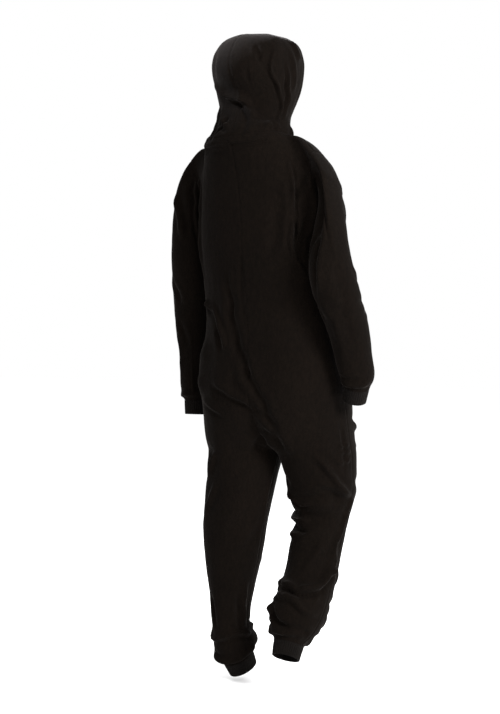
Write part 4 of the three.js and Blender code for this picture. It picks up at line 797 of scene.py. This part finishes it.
def rib_material():
    material, tree, shader = new_material("black_rib_knit", roughness=0.95, specular=0.05)
    shader.inputs["Sheen Weight"].default_value = 0.010
    shader.inputs["Sheen Tint"].default_value = FLEECE_BLOOM
    place = tree.nodes.new("ShaderNodeTexCoord").outputs["Object"]
    dark, light = shades(RIB_COLOUR, 0.7, 1.35)
    patch = ramp_node(tree, noise_node(tree, place, scale=26.0, detail=4.0), [(0.3, dark), (0.7, light)])
    along = tree.nodes.new("ShaderNodeUVMap")
    along.uv_map = "knit"
    split = tree.nodes.new("ShaderNodeSeparateXYZ")
    tree.links.new(along.outputs["UV"], split.inputs["Vector"])

    def maths(operation, first, second):
        node = tree.nodes.new("ShaderNodeMath")
        node.operation = operation
        for socket, value in zip(node.inputs, (first, second)):
            if isinstance(value, (int, float)):
                socket.default_value = value
            else:
                tree.links.new(value, socket)
        return node.outputs["Value"]

    # Each stitch is a V: the rows dip towards the middle of every column.
    column = maths("FRACT", maths("MULTIPLY", split.outputs["X"], 2.0), 0.0)
    arm = maths("ABSOLUTE", maths("SUBTRACT", column, 0.5), 0.0)
    row = maths("ADD", split.outputs["Y"], arm)
    loop = maths("SINE", maths("MULTIPLY", row, 2 * math.pi), 0.0)
    yarn = maths("MULTIPLY", maths("ADD", loop, 1.0), maths("SUBTRACT", 1.0, arm))
    # Painted shade: the colour is darker where the yarn lies low, between loops and ribs, and lighter on
    # its crests.
    knit = ramp_node(tree, yarn, [(0.1, (0.62, 0.62, 0.62)), (0.9, (1.15, 1.15, 1.15))])
    tree.links.new(multiply_node(tree, patch, knit), shader.inputs["Base Color"])
    loops = bump_node(tree, yarn, distance=0.0004, strength=0.7)
    fuzz = bump_node(tree, noise_node(tree, place, scale=1100.0, detail=3.0), distance=0.0003,
                     strength=0.5, under=loops)
    tree.links.new(fuzz, shader.inputs["Normal"])
    return material


def tube_outside(node):
    """The outside of a short tube's solid: the faces that look away from its axis."""
    skin = bmesh.new()
    skin.from_mesh(node.data)
    bmesh.ops.remove_doubles(skin, verts=skin.verts, dist=SAME_POINT)
    corners = np.array([v.co for v in skin.verts])
    centre = corners.mean(axis=0)
    axis = np.linalg.eigh(np.cov((corners - centre).T))[1][:, 0]
    inward = []
    for face in skin.faces:
        spoke = np.array(face.calc_center_median()) - centre
        spoke -= axis * spoke.dot(axis)
        if np.array(face.normal).dot(spoke / np.linalg.norm(spoke)) < 0.3:
            inward.append(face)
    bmesh.ops.delete(skin, geom=inward, context="FACES")
    return skin


def ring_place(ring, at):
    """A place on a closed ring of points, smooth between them, at a whole or part number."""
    n = len(ring)
    k = int(math.floor(at))
    s = at - k
    before, a, b, after = (ring[(k + step) % n] for step in (-1, 0, 1, 2))
    return between(a, b, (b - before) / 2, (after - a) / 2, s)


def finish_piece(mesh_name, places, quads, material, slot, body, smooth_angle=60):
    """A new piece from its corners and faces, with its normals facing out."""
    shape = bpy.data.meshes.new(mesh_name)
    shape.from_pydata([tuple(p) for p in places], [], quads)
    piece = bpy.data.objects.new(mesh_name, shape)
    bpy.context.collection.objects.link(piece)
    shape.materials.append(material)
    pick(piece)
    bpy.ops.object.mode_set(mode="EDIT")
    bpy.ops.mesh.select_all(action="SELECT")
    bpy.ops.mesh.normals_make_consistent(inside=False)
    bpy.ops.object.mode_set(mode="OBJECT")
    bpy.ops.object.shade_smooth_by_angle(angle=math.radians(smooth_angle))
    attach(piece, body)
    return piece


black_rib = rib_material()
for cuff_number, (name, flat) in enumerate(CUFFS):
    skin = tube_outside(nodes[name])
    grid = weave_rows(skin)
    skin.free()
    centres = grid.mean(axis=1)
    spread = np.linalg.norm(grid[0] - centres[0], axis=1)
    valleys = grid[:, 0::2] if spread[0::2].mean() < spread[1::2].mean() else grid[:, 1::2]
    ribs = valleys.shape[1]
    stations = ribs * RIB_STEPS
    down = centres[-1] - centres[0]
    length = np.linalg.norm(down)
    down /= length
    fold_radius = CUFF_WALL / 2
    straight = 1 - fold_radius / length
    profile = [(straight * k / RIB_ROWS, 0.0, 0.0) for k in range(RIB_ROWS + 1)]
    for turn in FOLD_TURNS:
        a = math.radians(turn)
        profile.append((straight, fold_radius * math.sin(a), fold_radius * (1 - math.cos(a))))
    profile += [(straight * (1 - k / INNER_ROWS), 0.0, CUFF_WALL) for k in range(1, INNER_ROWS + 1)]
    places = []
    for share, past, inset in profile:
        ring = valleys[0] * (1 - share) + valleys[-1] * share
        centre = centres[0] * (1 - share) + centres[-1] * share
        for k in range(stations):
            at = k / RIB_STEPS
            place = ring_place(ring, at)
            outward = place - centre
            outward /= np.linalg.norm(outward)
            crest = (0.5 - 0.5 * math.cos(2 * math.pi * at)) ** RIB_ROUND
            rise = RIB_HEIGHT * crest * (0.45 + 0.55 * math.sin(math.pi * min(share + 0.08, 0.5)))
            if inset > fold_radius:
                rise *= RIB_INSIDE
            around = 2 * math.pi * at / ribs
            spot = Vector((math.cos(around), math.sin(around), 0)) * BUCKLE["fineness"]
            buckle = noise.noise(spot + Vector((0, 0, share + 7.7 * cuff_number)))
            rise += BUCKLE["height"] * buckle * share * (1 - 0.4 * share)
            places.append(place + outward * (rise - inset) + down * past)
    quads = []
    for i in range(len(profile)):
        for k in range(stations):
            a, b = i * stations, ((i + 1) % len(profile)) * stations
            quads.append([a + k, a + (k + 1) % stations, b + (k + 1) % stations, b + k])
    cuff = finish_piece(name + "_knit", places, quads, black_rib, "rib_knit", "onesie")
    knit_map = cuff.data.uv_layers.new(name="knit")
    rows_of_knit = length / STITCH_ROW
    for face in cuff.data.polygons:
        corners = [(cuff.data.loops[k].vertex_index, k) for k in face.loop_indices]
        wraps = max(v % stations for v, _ in corners) - min(v % stations for v, _ in corners) > 1
        for v, k in corners:
            column = v % stations
            if wraps and column == 0:
                column = stations
            knit_map.data[k].uv = (column / RIB_STEPS, rows_of_knit * profile[v // stations][0])
    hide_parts(name)

# The front zip: a black nylon zip sewn behind the two turned front edges, from the hip to the neck. Its
# two woven tapes carry rows of small moulded teeth that meet in the middle.
ZIP_GAP = 0.003  # above the crotch seam the front edges stand further apart than this, for the zip
TAPE_THICK = 0.0008
TAPE_SECTION = [  # across from the middle, and under the front edges' face
    (0.0, 0.0014), (0.0012, 0.0009), (0.0022, 0.0011), (0.0027, 0.0024), (0.0034, 0.0032),
]
TAPE_UNDER = [0.0055, 0.0085, 0.0115, 0.0145]  # further out the tape lies against the fleece's back
TAPE_DROP = 0.0033
TAPE_LOOK = 0.0006  # the fleece over the tape is looked for this much further out
TAPE_STEP = 0.006
ZIP_SHORT = 0.12  # the zip ends just under the neck seam, by this share of its last row
TOOTH = {"width": 0.0030, "length": 0.00085, "height": 0.0015, "pitch": 0.0015, "bevel": 0.00022}
TOOTH_AT = {"side": 0.0011, "under": 0.00025}

left_edge, right_edge = grids["front_left"][:, -1], grids["front_right"][:, -1]
gaps = np.linalg.norm(left_edge - right_edge, axis=1)
zip_rows = list(range(int(np.where(gaps < ZIP_GAP)[0].max()) + 1, len(gaps)))
across_rows = (left_edge - right_edge)[zip_rows]
across_rows /= np.linalg.norm(across_rows, axis=1)[:, None]
middle_rows = ((left_edge + right_edge) / 2)[zip_rows]
middle_rows[-1] += (middle_rows[-2] - middle_rows[-1]) * ZIP_SHORT
zip_spots = np.hstack([middle_rows, across_rows])


def zip_frames(spacing):
    """Places up the zip with the ways across it, up it and out of it."""
    stations, ups = smooth_line(zip_spots, spacing)
    frames = []
    for station, up in zip(stations, ups):
        across = station[3:] - up * station[3:].dot(up)
        across /= np.linalg.norm(across)
        frames.append((station[:3], across, up, np.cross(across, up)))
    return frames


def zip_material(name, colour, roughness, specular, fine):
    material, tree, shader = new_material(name, roughness, specular)
    place = tree.nodes.new("ShaderNodeTexCoord").outputs["Object"]
    dark, light = shades(colour, 0.7, 1.5)
    patch = ramp_node(tree, noise_node(tree, place, scale=60.0, detail=4.0), [(0.3, dark), (0.7, light)])
    weave = tree.nodes.new("ShaderNodeTexWave")
    weave.bands_direction = "DIAGONAL"
    weave.inputs["Scale"].default_value = fine
    weave.inputs["Distortion"].default_value = 1.2
    tree.links.new(place, weave.inputs["Vector"])
    tree.links.new(patch, shader.inputs["Base Color"])
    rough = tree.nodes.new("ShaderNodeMapRange")
    rough.inputs["To Min"].default_value = roughness - 0.08
    rough.inputs["To Max"].default_value = min(roughness + 0.1, 1.0)
    tree.links.new(noise_node(tree, place, scale=300.0, detail=3.0), rough.inputs["Value"])
    tree.links.new(rough.outputs["Result"], shader.inputs["Roughness"])
    threads = bump_node(tree, weave.outputs["Fac"], distance=0.0002, strength=0.5)
    tree.links.new(threads, shader.inputs["Normal"])
    return material


tape_cloth = zip_material("black_zip_tape", (0.0045, 0.0042, 0.0040), roughness=0.85, specular=0.15,
                          fine=520.0)
tooth_nylon = zip_material("black_nylon", (0.0060, 0.0058, 0.0056), roughness=0.50, specular=0.25,
                           fine=300.0)
thread_black = zip_material("black_thread", (0.0046, 0.0039, 0.0034), roughness=0.8, specular=0.12,
                            fine=900.0)

tape_rows = []
for place, across, up, out in zip_frames(TAPE_STEP):
    row = []
    for sign in (1, -1):
        half = [place + across * sign * a - out * drop for a, drop in TAPE_SECTION]
        for a in TAPE_UNDER:
            hit, normal, _, _ = surface.find_nearest(Vector(place + across * sign * (a + TAPE_LOOK)))
            half.append(np.array(hit) - np.array(normal) * TAPE_DROP)
        row.append(half)
    tape_rows.append(row[0][::-1] + row[1][1:])
width = len(tape_rows[0])
quads = []
for i in range(len(tape_rows) - 1):
    for j in range(width - 1):
        quads.append([i * width + j, i * width + j + 1, (i + 1) * width + j + 1, (i + 1) * width + j])
tape = finish_piece("zip_tape_woven", [p for row in tape_rows for p in row], quads, tape_cloth,
                    "zip_tape", "onesie")
if tape.data.polygons[len(quads) // 2].normal.y > 0:
    tape.data.flip_normals()
apply_modifier(tape, "SOLIDIFY", thickness=TAPE_THICK, offset=-1.0)
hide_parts("zip_tape")


def repeat_form(form, frames):
    """Copies of a small form's corners and faces, one set on each frame of place and three ways."""
    corners = read_vectors(form, "co")
    polygons = [tuple(face.vertices) for face in form.polygons]
    places, faces = [], []
    for place, x_way, y_way, z_way in frames:
        start = len(places)
        turned = place + corners @ np.array([x_way, y_way, z_way])
        places.extend(turned)
        faces.extend([[start + v for v in polygon] for polygon in polygons])
    return places, faces


bpy.ops.object.select_all(action="DESELECT")
bpy.ops.mesh.primitive_cube_add(size=1.0)
tooth = bpy.context.object
tooth.scale = (TOOTH["width"], TOOTH["length"], TOOTH["height"])
bpy.ops.object.transform_apply(location=False, rotation=False, scale=True)
apply_modifier(tooth, "BEVEL", width=TOOTH["bevel"], segments=1)
tooth_frames = []
for number, (place, across, up, out) in enumerate(zip_frames(TOOTH["pitch"] / 2)):
    sign = 1 if number % 2 else -1
    seat = place + across * sign * TOOTH_AT["side"] - out * TOOTH_AT["under"]
    tooth_frames.append((seat, across, up, out))
teeth = finish_piece("zip_teeth", *repeat_form(tooth.data, tooth_frames), tooth_nylon, "zip_chain",
                     "onesie", 30)
bpy.data.objects.remove(tooth)
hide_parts("zip_chain")

# The slider and its pull tab: cast zinc with a black enamel, a little lighter in small random patches.
# The tab hangs from the slider's bridge and turns about the bar that runs under it.
CAST_EDGE = 0.00025


def enamel_material():
    material, tree, shader = new_material("black_enamel", roughness=0.42, specular=0.35)
    shader.inputs["Metallic"].default_value = 0.25
    place = tree.nodes.new("ShaderNodeTexCoord").outputs["Object"]
    colour = ramp_node(tree, noise_node(tree, place, scale=220.0, detail=5.0),
                       [(0.45, (0.006, 0.006, 0.006)), (0.80, (0.022, 0.021, 0.020))])
    tree.links.new(colour, shader.inputs["Base Color"])
    rough = tree.nodes.new("ShaderNodeMapRange")
    rough.inputs["To Min"].default_value = 0.26
    rough.inputs["To Max"].default_value = 0.52
    tree.links.new(noise_node(tree, place, scale=500.0, detail=4.0), rough.inputs["Value"])
    tree.links.new(rough.outputs["Result"], shader.inputs["Roughness"])
    cast = bump_node(tree, noise_node(tree, place, scale=1400.0, detail=2.0), distance=0.00008,
                     strength=0.4)
    tree.links.new(cast, shader.inputs["Normal"])
    return material


black_enamel = enamel_material()
for name, body in (("zip_slider", "onesie"), ("zip_pull", "pull_tab")):
    metal = nodes[name].copy()
    metal.data = nodes[name].data.copy()
    metal.name = metal.data.name = name + "_cast"
    bpy.context.collection.objects.link(metal)
    metal.data.materials.clear()
    metal.data.materials.append(black_enamel)
    pick(metal)
    bpy.ops.object.mode_set(mode="EDIT")
    bpy.ops.mesh.select_all(action="SELECT")
    bpy.ops.mesh.remove_doubles(threshold=SAME_POINT / 2)
    bpy.ops.mesh.dissolve_limited(angle_limit=math.radians(2))
    bpy.ops.object.mode_set(mode="OBJECT")
    apply_modifier(metal, "BEVEL", width=CAST_EDGE, segments=2, limit_method="ANGLE")
    bpy.ops.object.shade_smooth_by_angle(angle=math.radians(40))
    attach(metal, body)
    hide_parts(name)

# The stitching: black polyester thread, in one row beside the zip on each side and in a double row
# round the face hem of the hood. Each stitch lies on the fleece and sinks in at both ends.
STITCH = {"half_length": 0.00125, "half_width": 0.00034, "half_height": 0.00026, "pitch": 0.0032,
          "rise": 0.0001}
STITCH_ROWS = {"zip": [0.0052], "face": [0.0165, 0.0195]}  # from the edge

bpy.ops.object.select_all(action="DESELECT")
bpy.ops.mesh.primitive_uv_sphere_add(segments=6, ring_count=4, radius=1.0)
stitch = bpy.context.object
stitch.rotation_euler = (math.pi / 2, 0, 0)
bpy.ops.object.transform_apply(location=False, rotation=True, scale=False)
stitch.scale = (STITCH["half_width"], STITCH["half_length"], STITCH["half_height"])
bpy.ops.object.transform_apply(location=False, rotation=False, scale=True)


def stitch_frames(edge, inner, distance):
    """Frames for a row of stitches on the cloth, at a distance in from an edge."""
    way_in = inner - edge
    spots = edge + way_in / np.linalg.norm(way_in, axis=1)[:, None] * distance
    frames = []
    for station, _ in zip(*smooth_line(spots, STITCH["pitch"])):
        hit, normal, _, _ = surface.find_nearest(Vector(station))
        frames.append((np.array(hit), np.array(normal)))
    result = []
    for k in range(1, len(frames) - 1):
        along = frames[k + 1][0] - frames[k - 1][0]
        normal = frames[k][1]
        along -= normal * along.dot(normal)
        along /= np.linalg.norm(along)
        seat = frames[k][0] + normal * STITCH["rise"]
        result.append((seat, np.cross(along, normal), along, normal))
    return result


rows_of_stitches = []
for side in SIDES:
    front = grids["front_" + side][zip_rows[0]:]
    for distance in STITCH_ROWS["zip"]:
        rows_of_stitches += stitch_frames(front[:, -1], front[:, -2], distance)
    hood = grids["hood_" + side][:-1]
    for distance in STITCH_ROWS["face"]:
        rows_of_stitches += stitch_frames(hood[:, 0], hood[:, 1], distance)
finish_piece("topstitching", *repeat_form(stitch.data, rows_of_stitches), thread_black, None, "onesie")
bpy.data.objects.remove(stitch)

# The floor is a wide white sheet, just under the lowest cuff, with even white light from all round.
FLOOR_Z = -1.42
FLOOR_SIZE = 30.0
bpy.ops.mesh.primitive_plane_add(size=FLOOR_SIZE, location=(0, 0, FLOOR_Z))
floor = bpy.context.object
floor.name = "floor"
floor_paint, _, floor_shader = new_material("pale_floor", roughness=1.0, specular=0.0)
floor_shader.inputs["Base Color"].default_value = (1, 1, 1, 1)
floor.data.materials.append(floor_paint)

world = bpy.data.worlds.new("studio")
world.use_nodes = True
world.node_tree.nodes["Background"].inputs["Color"].default_value = (1, 1, 1, 1)
world.node_tree.nodes["Background"].inputs["Strength"].default_value = 1.0
bpy.context.scene.world = world
bpy.context.scene.view_settings.view_transform = "Standard"


def add_light(kind, name, place, aim, **settings):
    bpy.ops.object.light_add(type=kind, location=place)
    lamp = bpy.context.object
    lamp.name = name
    lamp.rotation_euler = facing(place, aim)
    for setting, value in settings.items():
        setattr(lamp.data, setting, value)


HIPS = (0, 0, -0.4)
OVER_CROWN = (0.10, 0.03, 0.42)
add_light("AREA", "key_light", (-3.9, 1.5, 1.0), HIPS, size=1.4, energy=470)
add_light("AREA", "fill_light", (-2.9, 3.3, 1.5), HIPS, size=1.2, energy=70)
add_light("AREA", "front_light", (1.8, -3.2, 1.2), HIPS, size=2.0, energy=90)

# A narrow cool light brightens the hood's crown on the side away from the key.
add_light("SPOT", "crown_light", (1.8, 0.9, 1.5), OVER_CROWN, energy=5200, color=(0.86, 0.91, 1.0),
          shadow_soft_size=0.15, spot_size=math.radians(11), spot_blend=1.0)
